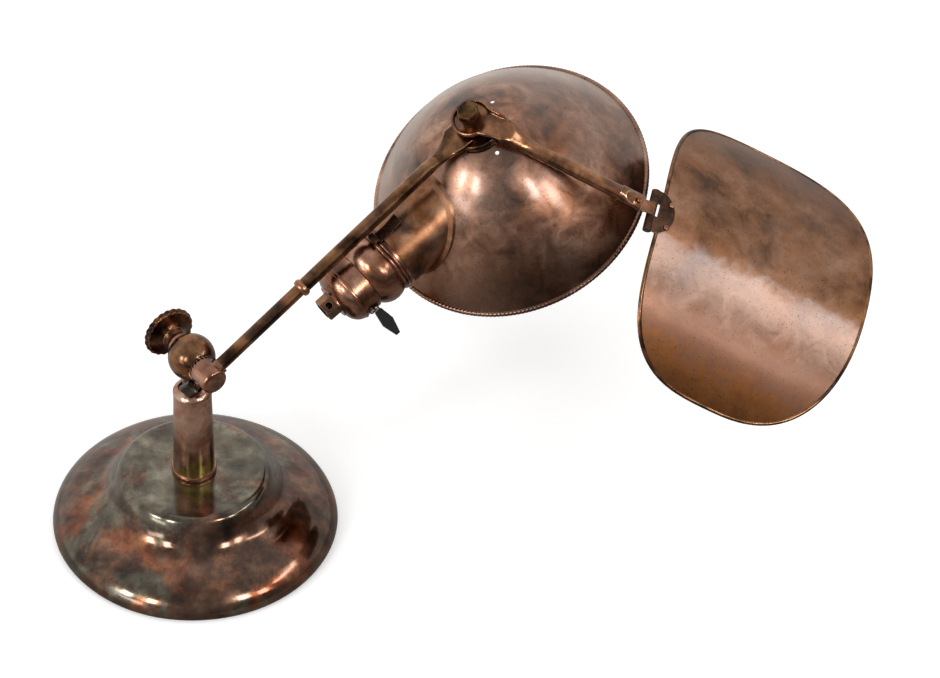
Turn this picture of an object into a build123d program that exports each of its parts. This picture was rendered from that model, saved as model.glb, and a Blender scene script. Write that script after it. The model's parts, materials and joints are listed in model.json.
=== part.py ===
"""Adjustable desk lamp of spun and turned brass with an aged copper finish.

A weighted round base carries a short column.  A swivelling ball on the column
holds the main arm through a toothed clutch that a scalloped knob clamps.  The
arm ends in a flattened lug under the crown of a deep spun shade.  A keyed
socket enters the shade from the side.  A second arm, bolted on the same crown,
carries a bent shield on a hinge.

Millimetres, +Z up, the middle of the felt under the base at the origin.
"""

from build123d import *
from math import cos, radians, sin, sqrt
import os

os.makedirs("parts", exist_ok=True)

# Clearances and small shared sizes
running_clearance = 0.05      # radial play of a turning fit
thrust_clearance = 0.1        # play between faces that turn on each other
seat_clearance = 0.1          # play of a piece that slides in and stays
tooth_clearance = 0.3         # gap between the two rings of clutch teeth
edge_round = 0.5              # broken edge on turned pieces
overlap = 0.6                 # how far joined forms of one piece run into each other

# Base
base_radius = 82.5
base_height = 44.0
base_wall = 1.6
base_lip_height = 1.0
base_lip_width = 5.5
rim_turn = 2.2
base_flange_width = 8.0       # from the rim in to the bend of the flange
flange_drop = 28.1
cove_width = 17.5             # from that bend in to the hollow of the cove
cove_drop = 20.2
shoulder_width = 11.0         # from the cove in to the steep shoulder
shoulder_drop = 11.0
plateau_margin = 16.0         # from the shoulder in to the flat top
felt_thickness = 2.4
felt_margin = 0.5
weight_clearance = 0.4
weight_rim_height = 8.2
weight_step_width = 3.0       # how far the weight's step stands out beyond the cove
weight_step_height = 9.0
nut_pocket_radius = 14.0
nut_pocket_depth = 8.0
nipple_radius = 4.8
nipple_length = 54.0
nipple_foot = 3.6
base_nut_width = 17.0
base_nut_height = 5.0
base_washer_radius = 12.0
base_washer_height = 1.5

# Column
column_foot_radius = 12.05
column_top_radius = 11.0
column_length = 60.5
column_wall = 1.2
foot_ring_radius = 13.0
foot_ring_height = 3.4
plug_height = 14.0
bush_height = 16.5
cap_height = 4.9
cap_opening_radius = 6.7
cap_wall = 1.3
cap_lip = 1.1
cap_overhang = 0.3
cap_dome_radius = 5.6

# Swivelling ball
ball_radius = 13.65
post_radius = 4.5
post_length = 36.0
post_socket_depth = 2.0
post_collar_radius = 7.2
post_collar_height = 2.4
neck_radius = 5.6
tooth_seat = 10.2             # from the ball centre to the flat under the teeth
washer_seat = 12.0            # from the ball centre to the flat under the knob
bolt_radius = 3.0
lock_screw_azimuth = -101.0
lock_screw_gap = 0.414        # between the column's cap and the head's lower corner
lock_screw_width = 7.6
lock_screw_turn = 45.0        # the square head stands on a corner
lock_screw_reach = 11.2
lock_screw_head = 3.6
lock_screw_radius = 2.2
neck_pin_azimuth = -58.0
neck_pin_drop = 14.8          # below the ball's centre
neck_pin_radius = 1.9
neck_pin_reach = 8.5

# Toothed clutch and its knob
clutch_azimuth = -56.2        # the way the clutch bolt points, seen from above
tooth_count = 20
tooth_height = 1.0
tooth_width = 1.5
tooth_inner_radius = 4.6
clutch_radius = 7.8
barrel_end = 25.8
barrel_round = 2.0
bolt_barrel_depth = 10.5
arm_offset = 18.4             # from the ball centre to the arm's middle plane
arm_boss_radius = 5.0
arm_boss_reach = 9.4
rod_depth = 4.0
knob_washer_radius = 7.0
knob_washer_height = 1.4
knob_hub_radius = 6.2
knob_hub_length = 1.8
knob_waist_radius = 5.5
knob_bell_length = 8.0
knob_rim_radius = 15.4
knob_rim_thickness = 3.6
knob_lobe_count = 14
knob_lobe_radius = 2.3
knob_lobe_round = 1.0
knob_flare_out = 2.6          # the bell's middle point, from its waist and from its rim
knob_flare_back = 2.4
knob_dish_radius = 9.5
knob_dish_depth = 1.2

# Main arm
arm_elevation = 30.2
arm_length = 207.0            # from the clutch axis to the shade's pivot
lower_rod_radius = 3.8
arm_tube_radius = 4.15
arm_tube_wall = 0.9
arm_ring_place = 72.5
arm_ring_radius = 5.4
arm_ring_width = 4.0
spigot_length = 12.0
seam_angle = 16.0
seam_width = 0.8
seam_depth = 0.35
lug_bend = 6.85
lug_twist = 5.57
lug_radius = 11.4
lug_thickness = 3.0
lug_neck_start = 36.0
lug_neck_middle = 23.0
lug_neck_half_width = 5.8
lug_neck_half_height = 2.7
lug_neck_end = 15.2
lug_end_width = 17.0
lug_edge_round = 0.9

# Shade, in its own frame: origin on the crown, z along its axis
shade_radius = 82.0
shade_depth = 74.0
shade_wall = 0.9
rim_wire_radius = 1.7
crown_radius = 15.8
vent_radius = 1.2
vent_circle = 19.5
vent_start = 85.0
vent_count = 3
pivot_disc_radius = 14.8
pivot_disc_rise = 1.6          # above the point where the dome's own line would end
lock_washer_radius = 15.5
lock_washer_height = 1.2
lock_washer_teeth = 30
lock_washer_tooth = 1.2
lock_washer_tooth_half_width = 1.0
pivot_bolt_radius = 3.1
pivot_spacer_radius = 9.0
pivot_spacer_height = 1.2
bolt_collar_radius = 5.8
bolt_collar_height = 6.4
bolt_head_width = 11.4
bolt_head_height = 4.5
bolt_head_chamfer = 0.6
backing_plate_radius = 12.5
backing_plate_height = 1.8
nut_washer_radius = 7.0
nut_washer_height = 1.2
pivot_nut_width = 10.0
pivot_nut_height = 4.5
bolt_tail = 1.2

# Socket, on an axis across the shade
socket_turn = 182.1           # from the arm lug's direction to the socket's
socket_drop = 38.5            # from the crown to the socket's axis
collar_radius = 22.0
collar_wall = 1.0
collar_reach_in = 2.4         # how far the collar's edge stands inside the dome's inner surface
collar_end = 80.5
flange_width = 2.6
flange_height = 1.5
neck_start = 72.0
bead_start = 82.2
bead_width = 2.4
bead_radius = 22.0
bulge_start_radius = 20.9
bulge_radius = 22.7
bulge_middle = 94.0
groove_place = 102.8
groove_depth = 0.6
groove_width = 1.0
barrel_shell_radius = 18.9
socket_wall = 0.8
cap_start = 112.8
cap_bead_width = 2.4
cap_bead_radius = 19.5
cap_dome_place = 120.0
cap_dome_girth_radius = 16.2
cap_end = 122.6
cap_end_radius = 9.6
cap_hole_radius = 7.0
side_hole_start = 9.0         # inside the shell, where the cutters for its side holes begin
cap_disc_radius = 10.3
cap_disc_height = 0.9
boss_width = 12.4
boss_length = 7.7
cord_hole_radius = 4.86
boss_side_hole_radius = 2.1
camera_side_angle = -31.6
liner_thickness = 0.6
liner_length = 24.0
insulator_start = 99.0
insulator_length = 12.0
insulator_step = 1.5
screw_shell_radius = 13.6
screw_shell_wall = 0.5
screw_shell_start = 75.0
screw_shell_length = 21.5
shell_seat_width = 0.25       # how much of the screw shell's edge rests on the insulator's rim
contact_radius = 3.2
contact_height = 2.2
terminal_screw_radius = 2.2
terminal_screw_height = 1.5
terminal_screw_circle = 10.5
switch_contact_width = 4.0
switch_contact_height = 1.0
switch_contact_place = 7.6
key_angle = -121.5
key_place = 107.5
key_shaft_radius = 1.9
key_shaft_inner = 6.0
key_shoulder = 20.3
key_reach = 38.0
key_root_width = 4.6
key_middle_width = 7.6
key_tip_width = 2.6
key_middle_place = 29.0
key_thickness = 3.2
key_hole_clearance = 0.4
shell_screw_angle = -106.0
shell_screw_place = 110.6
shell_screw_head_radius = 1.8
shell_screw_head_height = 1.5
shell_screw_radius = 0.9
shell_screw_depth = 1.6
shell_screw_slot_turn = 35.0
clip_angle = -5.0
clip_width = 6.8
clip_thickness = 0.7
clip_free_end = 66.5
clip_free_rise = 2.6
clip_bend = 74.5
clip_curl_place = 84.6
clip_curl_radius = 1.8
clip_curl_end = -80.0         # the curl runs from 180 degrees over its top to here

# Shield arm, in the plane through the shade's axis
shield_arm_angle = 115.5
cup_radius = 11.6
cup_wall = 1.5
cup_floor = 2.4
cup_height = 5.4
shield_tube_radius = 4.25
shield_tube_wall = 0.9
shield_tube_slope = 29.6
shield_run_reach = 26.0       # a point on the tube's middle line
shield_run_drop = 4.2
shield_tube_start = 39.6      # where the tube is round
shield_tube_end = 90.0
shield_neck_reach = 27.6      # where the lug is drawn in to a neck
shield_neck_half_width = 5.2
shield_neck_half_height = 2.5
shield_tube_bore_start = 44.0
spoon_reach = 21.0
spoon_end_level = 1.4
spoon_end_half_width = 1.6
spoon_end_half_height = 0.7
spoon_half_width = 8.4
cup_round = 2.1
sleeve_start = 82.0
sleeve_end = 94.5
sleeve_wall = 0.7
sleeve_flat_width = 9.4
sleeve_flat_height = 4.6
sleeve_rivet_place = 92.3
sleeve_rivet_radius = 1.0
sleeve_rivet_head = 1.9
rivet_head_height = 1.0
rivet_round = 0.7

# Hinge and shield
pin_reach = 98.7
pin_drop = 49.0
pin_roll = -9.4
pin_skew = 8.9
shield_angle = 14.1
pin_radius = 1.3
pin_length = 26.0
knuckle_radius = 2.6
strap_centre = 0.5
strap_width = 7.6
strap_reach = 6.5
knuckle_gap = 0.3
strap_thickness = 1.1
leaf_thickness = 1.0
leaf_length = 14.0
leaf_straight = 5.0
leaf_window = 3.5
leaf_rivet_place = 10.4
leaf_rivet_spread = 7.3
leaf_rivet_radius = 1.0
leaf_rivet_head = 1.8
plate_length = 141.0
plate_girth = 189.0           # measured round the bend
plate_bend_radius = 125.0
plate_thickness = 0.9
plate_start = 4.7
plate_shift = 2.7
plate_squareness = 2.8        # 2 is an ellipse, higher is squarer
plate_points = 40
plate_bead_radius = 0.9


def heading(azimuth, elevation):
    """Unit vector at an azimuth from +X and an elevation above the table."""
    level = cos(radians(elevation))
    return Vector(level * cos(radians(azimuth)), level * sin(radians(azimuth)), sin(radians(elevation)))


def section(frame):
    """Plane through a frame's axis: local x is the radius and local y runs along the axis."""
    return Plane(origin=frame.origin, x_dir=frame.x_dir, z_dir=-frame.y_dir)


def axis_of(frame):
    """The axis a turned piece is made about."""
    return Axis(frame.origin, frame.z_dir)


def moved(frame, x=0, y=0, z=0, turn_x=0, turn_y=0, turn_z=0):
    """Frame shifted in its own directions, then turned about x, z and y in that order."""
    place = frame.location * Location((x, y, z))
    place = place * Rot(turn_x, 0, 0) * Rot(0, 0, turn_z) * Rot(0, turn_y, 0)
    return Plane(place)


def facing(frame, angle, along=0, out=0):
    """Plane at a height on a frame's axis whose normal points out at an angle round it."""
    turned_frame = moved(frame, z=along, turn_z=angle)
    origin = turned_frame.origin + turned_frame.x_dir * out
    return Plane(origin=origin, x_dir=turned_frame.z_dir, z_dir=turned_frame.x_dir)


def turned(frame, corners):
    """Turned piece from the corners (radius, height) of its half section."""
    with BuildPart() as piece:
        with BuildSketch(section(frame)):
            with BuildLine():
                Polyline(*corners, close=True)
            make_face()
        revolve(axis=axis_of(frame))
    return piece


def ring(frame, inner, outer, bottom, height):
    """Plain ring or washer."""
    top = bottom + height
    return turned(frame, [(inner, bottom), (outer, bottom), (outer, top), (inner, top)])


def disc(frame, radius, bottom, height):
    """Plain round bar or disc."""
    top = bottom + height
    return turned(frame, [(0, bottom), (radius, bottom), (radius, top), (0, top)])


def hex_nut(frame, width, bore, bottom, height):
    """Hexagon nut, width measured across its flats."""
    with BuildPart() as nut:
        with BuildSketch(moved(frame, z=bottom)):
            RegularPolygon(width / 2, 6, major_radius=False)
            Circle(bore, mode=Mode.SUBTRACT)
        extrude(amount=height)
    return nut


def cut_teeth(frame, crest, depth_sign):
    """Radial V grooves in a toothed ring whose crest lies at a height on the frame's axis."""
    for index in range(tooth_count):
        spoke = moved(frame, z=crest, turn_z=index * 360 / tooth_count)
        groove = Plane(origin=spoke.origin, x_dir=spoke.y_dir, z_dir=spoke.x_dir)
        with BuildSketch(groove) as notch:
            with BuildLine():
                Polyline(
                    (-tooth_width / 2, 0),
                    (tooth_width / 2, 0),
                    (0, depth_sign * tooth_height),
                    close=True,
                )
            make_face()
        yield notch


# Frames that carry the pieces, each worked out from the one before
base = Plane.XY
column = moved(base, z=base_height)
column_top = base_height + column_length
head_foot = lock_screw_reach - lock_screw_head
head_corner = lock_screw_width / sqrt(2)
lock_screw_height = column_top + cap_height + lock_screw_gap + head_corner
ball_rise = head_corner + seat_clearance + sqrt(ball_radius**2 - head_foot**2)
ball_height = lock_screw_height + ball_rise
ball_centre = Vector(0, 0, ball_height)
clutch_direction = heading(clutch_azimuth, 0)
arm_direction = heading(clutch_azimuth + 90, arm_elevation)
clutch = Plane(origin=ball_centre, x_dir=(0, 0, 1), z_dir=clutch_direction)
arm_side = clutch_direction.cross(arm_direction)
arm = Plane(origin=ball_centre + clutch_direction * arm_offset, x_dir=arm_direction, z_dir=arm_side)
arm_run = Plane(origin=arm.origin, x_dir=arm.z_dir, z_dir=arm.x_dir)
lug = moved(moved(arm, x=arm_length, turn_x=lug_twist), turn_y=lug_bend)
pivot_height = pivot_disc_rise + thrust_clearance + lug_thickness / 2
shade = moved(lug, z=-pivot_height, turn_z=socket_turn)
socket = Plane(origin=moved(shade, z=-socket_drop).origin, x_dir=shade.z_dir, z_dir=shade.x_dir)
shield_arm = moved(shade, turn_z=shield_arm_angle)
run_start = moved(shield_arm, x=shield_run_reach, z=-shield_run_drop, turn_y=shield_tube_slope)


def on_tube(reach):
    """Frame on the shield arm's straight run at a distance from the shade's axis; x runs along it."""
    return moved(run_start, x=(reach - shield_run_reach) / cos(radians(shield_tube_slope)))


def across(frame):
    """Plane square to a frame's x direction, with the frame's y across and z up."""
    return Plane(origin=frame.origin, x_dir=frame.y_dir, z_dir=frame.x_dir)


pin_place = moved(shield_arm, x=pin_reach, z=-pin_drop, turn_y=shield_tube_slope)
pin = moved(pin_place, turn_x=pin_roll, turn_z=pin_skew)
shield = moved(pin, turn_y=shield_angle)
pin_axis = Plane(origin=pin.origin, x_dir=pin.x_dir, z_dir=pin.y_dir)
leaf_axis = Plane(origin=shield.origin, x_dir=shield.x_dir, z_dir=shield.y_dir)


# Base: spun shell, iron weight, felt
flange_radius = base_radius - base_flange_width
cove_radius = flange_radius - cove_width
shoulder_radius = cove_radius - shoulder_width
plateau_radius = shoulder_radius - plateau_margin


def base_line(inset):
    """Upper line of the base from the plateau to the rim, moved inwards by an inset."""
    stations = [
        (plateau_radius, base_height, 0),
        (shoulder_radius, base_height - shoulder_drop, 62),
        (cove_radius, base_height - cove_drop, 20),
        (flange_radius, base_height - flange_drop, 43),
        (base_radius, base_lip_height + rim_turn, 90),
    ]
    points = [(r - inset * sin(radians(slope)), z - inset * cos(radians(slope))) for r, z, slope in stations]
    directions = [(cos(radians(slope)), -sin(radians(slope))) for r, z, slope in stations]
    return points, directions


with BuildPart() as base_shell:
    with BuildSketch(Plane.XZ):
        with BuildLine():
            outer_line, outer_directions = base_line(0)
            inner_line, inner_directions = base_line(base_wall)
            back_directions = [(-along, -up) for along, up in reversed(inner_directions)]
            Line((nipple_radius + seat_clearance, base_height), outer_line[0])
            Spline(*outer_line, tangents=outer_directions)
            lip_corner = (base_radius - rim_turn, base_lip_height)
            RadiusArc(outer_line[-1], lip_corner, rim_turn)
            lip_end = base_radius - base_lip_width
            Polyline(
                lip_corner,
                (lip_end, base_lip_height),
                (lip_end, base_lip_height + base_wall),
                (base_radius - rim_turn, base_lip_height + base_wall),
                inner_line[-1],
            )
            Spline(*reversed(inner_line), tangents=back_directions)
            hole_edge = nipple_radius + seat_clearance
            Polyline(inner_line[0], (hole_edge, base_height - base_wall), (hole_edge, base_height))
        make_face()
    revolve(axis=Axis.Z)
base_shell.part.label = "base_shell"
export_step(base_shell.part, "parts/base_shell.step")

felt_radius = base_radius - base_lip_width - felt_margin
base_felt = disc(base, felt_radius, 0, felt_thickness)
base_felt.part.label = "base_felt"
export_step(base_felt.part, "parts/base_felt.step")

weight_foot = felt_thickness
weight_rim_top = weight_foot + weight_clearance + weight_rim_height
weight_step_top = weight_rim_top + weight_step_height
weight_step_radius = cove_radius + weight_step_width
weight_top = base_height - base_wall
pocket_top = weight_foot + nut_pocket_depth
base_weight = turned(
    base,
    [
        (nut_pocket_radius, weight_foot),
        (flange_radius, weight_foot),
        (flange_radius, weight_rim_top),
        (weight_step_radius, weight_rim_top),
        (weight_step_radius, weight_step_top),
        (plateau_radius, weight_step_top),
        (plateau_radius, weight_top),
        (nipple_radius + seat_clearance, weight_top),
        (nipple_radius + seat_clearance, pocket_top),
        (nut_pocket_radius, pocket_top),
    ],
)
base_weight.part.label = "base_weight"
export_step(base_weight.part, "parts/base_weight.step")

base_nipple = disc(base, nipple_radius, nipple_foot, nipple_length)
base_nipple.part.label = "base_nipple"
export_step(base_nipple.part, "parts/base_nipple.step")

washer_foot = pocket_top - base_washer_height
base_washer = ring(base, nipple_radius, base_washer_radius, washer_foot, base_washer_height)
base_washer.part.label = "base_washer"
export_step(base_washer.part, "parts/base_washer.step")

base_nut = hex_nut(base, base_nut_width, nipple_radius, washer_foot - base_nut_height, base_nut_height)
base_nut.part.label = "base_nut"
export_step(base_nut.part, "parts/base_nut.step")

# Column: tapered tube with a foot ring, plug, bush and cap
column_plug = ring(column, nipple_radius, column_foot_radius - 2 * column_wall, 0, plug_height)
column_plug.part.label = "column_plug"
export_step(column_plug.part, "parts/column_plug.step")


def column_inner(height):
    """Bore of the tapered column at a height above its foot."""
    taper = (column_foot_radius - column_top_radius) * height / column_length
    return column_foot_radius - taper - column_wall


column_tube = turned(
    column,
    [
        (column_inner(0), 0),
        (column_foot_radius, 0),
        (column_top_radius, column_length),
        (column_inner(column_length), column_length),
    ],
)
column_tube.part.label = "column_tube"
export_step(column_tube.part, "parts/column_tube.step")

with BuildPart() as column_foot_ring:
    with BuildSketch(section(column)):
        with BuildLine():
            ring_middle = foot_ring_height / 2
            Polyline(
                (foot_ring_radius - edge_round, foot_ring_height),
                (column_foot_radius, foot_ring_height),
                (column_foot_radius, 0),
                (foot_ring_radius - edge_round, 0),
            )
            ThreePointArc(
                (foot_ring_radius - edge_round, 0),
                (foot_ring_radius, ring_middle),
                (foot_ring_radius - edge_round, foot_ring_height),
            )
        make_face()
    revolve(axis=axis_of(column))
column_foot_ring.part.label = "column_foot_ring"
export_step(column_foot_ring.part, "parts/column_foot_ring.step")

bush_foot = column_length - bush_height
column_bush = ring(
    column, post_radius + running_clearance, column_inner(column_length), bush_foot, bush_height
)
column_bush.part.label = "column_bush"
export_step(column_bush.part, "parts/column_bush.step")

with BuildPart() as column_cap:
    with BuildSketch(section(moved(column, z=column_length))):
        with BuildLine():
            cap_outer = column_top_radius + cap_overhang
            Polyline(
                (cap_outer - cap_wall - overlap, 0),
                (cap_outer, 0),
                (cap_outer, cap_lip),
            )
            RadiusArc((cap_outer, cap_lip), (cap_opening_radius, cap_height), -cap_dome_radius)
            Line((cap_opening_radius, cap_height), (cap_opening_radius, cap_height - cap_wall))
            RadiusArc(
                (cap_opening_radius, cap_height - cap_wall),
                (cap_outer - cap_wall - overlap, 0),
                cap_dome_radius,
            )
        make_face()
    revolve(axis=axis_of(column))
column_cap.part.label = "column_cap"
export_step(column_cap.part, "parts/column_cap.step")

# Swivelling ball with its post, neck and side screws
neck_foot = column_top + thrust_clearance / 2
post_top = ball_height - ball_radius + post_socket_depth
swivel_post = disc(base, post_radius, post_top - post_length, post_length)
swivel_post.part.label = "swivel_post"
export_step(swivel_post.part, "parts/swivel_post.step")

collar_foot = base_height + bush_foot - thrust_clearance - post_collar_height
post_collar = ring(base, post_radius, post_collar_radius, collar_foot, post_collar_height)
post_collar.part.label = "post_collar"
export_step(post_collar.part, "parts/post_collar.step")

lock_screw_face = facing(base, lock_screw_azimuth, lock_screw_height)
neck_pin_height = ball_height - neck_pin_drop
neck_pin_face = facing(base, neck_pin_azimuth, neck_pin_height)
tooth_crest = tooth_seat + tooth_height

with BuildPart() as knuckle_ball:
    with BuildSketch(section(clutch)):
        with BuildLine():
            tooth_flat = sqrt(ball_radius**2 - tooth_seat**2)
            washer_flat = sqrt(ball_radius**2 - washer_seat**2)
            Polyline(
                (washer_flat, -washer_seat),
                (0, -washer_seat),
                (0, tooth_seat),
                (tooth_flat, tooth_seat),
            )
            ThreePointArc((tooth_flat, tooth_seat), (ball_radius, 0), (washer_flat, -washer_seat))
        make_face()
    revolve(axis=axis_of(clutch))
    with BuildSketch(moved(base, z=neck_foot)):
        Circle(neck_radius)
    extrude(amount=ball_height - ball_radius / 2 - neck_foot)
    with BuildSketch(moved(clutch, z=tooth_seat)):
        Circle(clutch_radius)
    extrude(amount=tooth_height)
    for notch in cut_teeth(clutch, tooth_crest, -1):
        extrude(notch.sketch, amount=clutch_radius + edge_round, mode=Mode.SUBTRACT)
    with BuildSketch(moved(clutch, z=tooth_seat)):
        Circle(tooth_inner_radius)
    extrude(amount=tooth_height, mode=Mode.SUBTRACT)
    with BuildSketch(moved(clutch, z=-ball_radius)):
        Circle(bolt_radius + running_clearance)
    extrude(amount=2 * ball_radius, mode=Mode.SUBTRACT)
    with BuildSketch(moved(base, z=neck_foot)):
        Circle(post_radius)
    extrude(amount=post_top - neck_foot, mode=Mode.SUBTRACT)
    with BuildSketch(lock_screw_face):
        Circle(lock_screw_radius)
    extrude(amount=neck_radius + edge_round, mode=Mode.SUBTRACT)
    with BuildSketch(neck_pin_face):
        Circle(neck_pin_radius)
    extrude(amount=neck_radius + edge_round, mode=Mode.SUBTRACT)
knuckle_ball.part.label = "knuckle_ball"
export_step(knuckle_ball.part, "parts/knuckle_ball.step")

with BuildPart() as lock_screw:
    with BuildSketch(facing(base, lock_screw_azimuth, lock_screw_height, head_foot)):
        Rectangle(lock_screw_width, lock_screw_width, rotation=lock_screw_turn)
    extrude(amount=lock_screw_head)
    outer_face = lock_screw.faces().sort_by(Axis((0, 0, 0), heading(lock_screw_azimuth, 0)))[-1]
    chamfer(outer_face.edges(), length=edge_round * 2, length2=edge_round)
    with BuildSketch(facing(base, lock_screw_azimuth, lock_screw_height, post_radius)):
        Circle(lock_screw_radius)
    extrude(amount=head_foot - post_radius)
lock_screw.part.label = "lock_screw"
export_step(lock_screw.part, "parts/lock_screw.step")

with BuildPart() as neck_pin:
    with BuildSketch(facing(base, neck_pin_azimuth, neck_pin_height, post_radius)):
        Circle(neck_pin_radius)
    extrude(amount=neck_pin_reach - post_radius)
    pin_end = neck_pin.faces().sort_by(Axis((0, 0, 0), heading(neck_pin_azimuth, 0)))[-1]
    fillet(pin_end.edges(), radius=edge_round)
neck_pin.part.label = "neck_pin"
export_step(neck_pin.part, "parts/neck_pin.step")

# Clutch barrel, bolt and knob
barrel_crest = tooth_crest + tooth_clearance
barrel_root = barrel_crest + tooth_height

with BuildPart() as arm_barrel:
    with BuildSketch(section(clutch)):
        with BuildLine():
            Polyline(
                (clutch_radius, barrel_end - barrel_round),
                (clutch_radius, barrel_crest),
                (tooth_inner_radius, barrel_crest),
                (tooth_inner_radius, barrel_root),
                (0, barrel_root),
                (0, barrel_end),
                (clutch_radius - barrel_round, barrel_end),
            )
            RadiusArc(
                (clutch_radius - barrel_round, barrel_end),
                (clutch_radius, barrel_end - barrel_round),
                barrel_round,
            )
        make_face()
    revolve(axis=axis_of(clutch))
    with BuildSketch(arm_run):
        Circle(arm_boss_radius)
    extrude(amount=arm_boss_reach)
    for notch in cut_teeth(clutch, barrel_crest, 1):
        extrude(notch.sketch, amount=clutch_radius + edge_round, mode=Mode.SUBTRACT)
    with BuildSketch(moved(clutch, z=barrel_root)):
        Circle(bolt_radius)
    extrude(amount=bolt_barrel_depth, mode=Mode.SUBTRACT)
    with BuildSketch(moved(arm_run, z=rod_depth)):
        Circle(lower_rod_radius)
    extrude(amount=arm_boss_reach, mode=Mode.SUBTRACT)
arm_barrel.part.label = "arm_barrel"
export_step(arm_barrel.part, "parts/arm_barrel.step")

knob_face = washer_seat + knob_washer_height + thrust_clearance
knob_rim_start = knob_face + knob_hub_length + knob_bell_length
knob_end = knob_rim_start + knob_rim_thickness
bolt_outer_end = knob_end - knob_dish_depth
clutch_bolt = disc(clutch, bolt_radius, -bolt_outer_end, bolt_outer_end + barrel_root + bolt_barrel_depth)
clutch_bolt.part.label = "clutch_bolt"
export_step(clutch_bolt.part, "parts/clutch_bolt.step")

knob_axis = Plane(origin=clutch.origin, x_dir=clutch.x_dir, z_dir=-clutch.z_dir)
knob_washer = ring(
    knob_axis, bolt_radius + running_clearance, knob_washer_radius, washer_seat, knob_washer_height
)
knob_washer.part.label = "knob_washer"
export_step(knob_washer.part, "parts/knob_washer.step")

with BuildPart() as clutch_knob:
    bore = bolt_radius + running_clearance
    bell_foot = knob_face + knob_hub_length
    with BuildSketch(moved(knob_axis, z=knob_rim_start)):
        Circle(knob_rim_radius)
        with PolarLocations(knob_rim_radius - edge_round, knob_lobe_count):
            Circle(knob_lobe_radius)
    extrude(amount=knob_rim_thickness)
    rim_faces = clutch_knob.faces().filter_by(knob_axis)
    fillet(rim_faces.edges(), radius=knob_lobe_round)
    with BuildSketch(section(knob_axis)):
        with BuildLine():
            flare_end = (knob_rim_radius - knob_lobe_round, knob_rim_start + edge_round)
            Polyline(
                flare_end,
                (0, knob_rim_start + edge_round),
                (0, knob_face),
                (knob_hub_radius, knob_face),
                (knob_hub_radius, bell_foot),
                (knob_waist_radius, bell_foot + edge_round),
            )
            flare_middle = (knob_waist_radius + knob_flare_out, knob_rim_start - knob_flare_back)
            ThreePointArc((knob_waist_radius, bell_foot + edge_round), flare_middle, flare_end)
        make_face()
    revolve(axis=axis_of(knob_axis))
    with BuildSketch(moved(knob_axis, z=knob_end - knob_dish_depth)):
        Circle(knob_dish_radius)
    extrude(amount=knob_dish_depth, mode=Mode.SUBTRACT)
    with BuildSketch(moved(knob_axis, z=knob_face)):
        Circle(bore)
    extrude(amount=knob_end - knob_face, mode=Mode.SUBTRACT)
clutch_knob.part.label = "clutch_knob"
export_step(clutch_knob.part, "parts/clutch_knob.step")

# Main arm: solid lower rod, ring, seamed upper tube with a flattened lug
arm_lower_rod = turned(
    arm_run,
    [
        (0, rod_depth),
        (lower_rod_radius, rod_depth),
        (lower_rod_radius, arm_ring_place),
        (arm_tube_radius - arm_tube_wall, arm_ring_place),
        (arm_tube_radius - arm_tube_wall, arm_ring_place + spigot_length),
        (0, arm_ring_place + spigot_length),
    ],
)
arm_lower_rod.part.label = "arm_lower_rod"
export_step(arm_lower_rod.part, "parts/arm_lower_rod.step")

with BuildPart() as arm_ring:
    half_ring = arm_ring_width / 2
    with BuildSketch(section(moved(arm_run, z=arm_ring_place))):
        with BuildLine():
            ring_edge = arm_tube_radius + edge_round
            Polyline(
                (ring_edge, half_ring),
                (arm_tube_radius, half_ring),
                (arm_tube_radius, 0),
                (lower_rod_radius, 0),
                (lower_rod_radius, -half_ring),
                (ring_edge, -half_ring),
            )
            ThreePointArc((ring_edge, -half_ring), (arm_ring_radius, 0), (ring_edge, half_ring))
        make_face()
    revolve(axis=axis_of(arm_run))
arm_ring.part.label = "arm_ring"
export_step(arm_ring.part, "parts/arm_ring.step")

with BuildPart() as arm_upper_tube:
    neck_place = arm_length - lug_neck_start
    with BuildSketch(moved(arm_run, z=arm_ring_place)):
        Circle(arm_tube_radius)
        Circle(arm_tube_radius - arm_tube_wall, mode=Mode.SUBTRACT)
    extrude(amount=neck_place - arm_ring_place)
    seam_frame = moved(arm_run, z=arm_ring_place + arm_ring_width, turn_z=90 - seam_angle)
    with BuildSketch(moved(seam_frame, x=-arm_tube_radius)):
        Rectangle(2 * seam_depth, seam_width)
    extrude(amount=neck_place - arm_ring_place - 2 * arm_ring_width, mode=Mode.SUBTRACT)
    with BuildSketch(across(moved(arm, x=neck_place))):
        Circle(arm_tube_radius)
    with BuildSketch(across(moved(arm, x=arm_length - lug_neck_middle))):
        Ellipse(lug_neck_half_width, lug_neck_half_height)
    with BuildSketch(across(moved(lug, x=-lug_neck_end))) as flat_end:
        RectangleRounded(lug_end_width, lug_thickness, lug_edge_round)
    loft()
    extrude(flat_end.sketch, amount=lug_neck_end)
    with BuildSketch(moved(lug, z=-lug_thickness / 2)):
        Circle(lug_radius)
    extrude(amount=lug_thickness)
    with BuildSketch(moved(lug, z=-lug_thickness)):
        Circle(pivot_bolt_radius + running_clearance)
    extrude(amount=2 * lug_thickness, mode=Mode.SUBTRACT)
arm_upper_tube.part.label = "arm_upper_tube"
export_step(arm_upper_tube.part, "parts/arm_upper_tube.step")


# Shade: a spun parabolic dome with a pressed seat on its crown
def dome_drop(radius, outward=0):
    """Drop of the dome's outer surface below the crown, at a radius, for a dome grown outward."""
    grown = shade_radius - rim_wire_radius + outward
    return shade_depth * (radius / grown) ** 2 - outward


def dome_line(outward):
    """End points and control point of the parabola that the dome's section follows."""
    outer = shade_radius - rim_wire_radius + outward
    inner = crown_radius
    top = -dome_drop(inner, outward)
    bottom = -dome_drop(outer, outward)
    slope = -2 * dome_drop(inner, 0) / inner
    elbow_radius = (inner + outer) / 2
    return (inner, top), (elbow_radius, top + slope * (elbow_radius - inner)), (outer, bottom)


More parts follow.
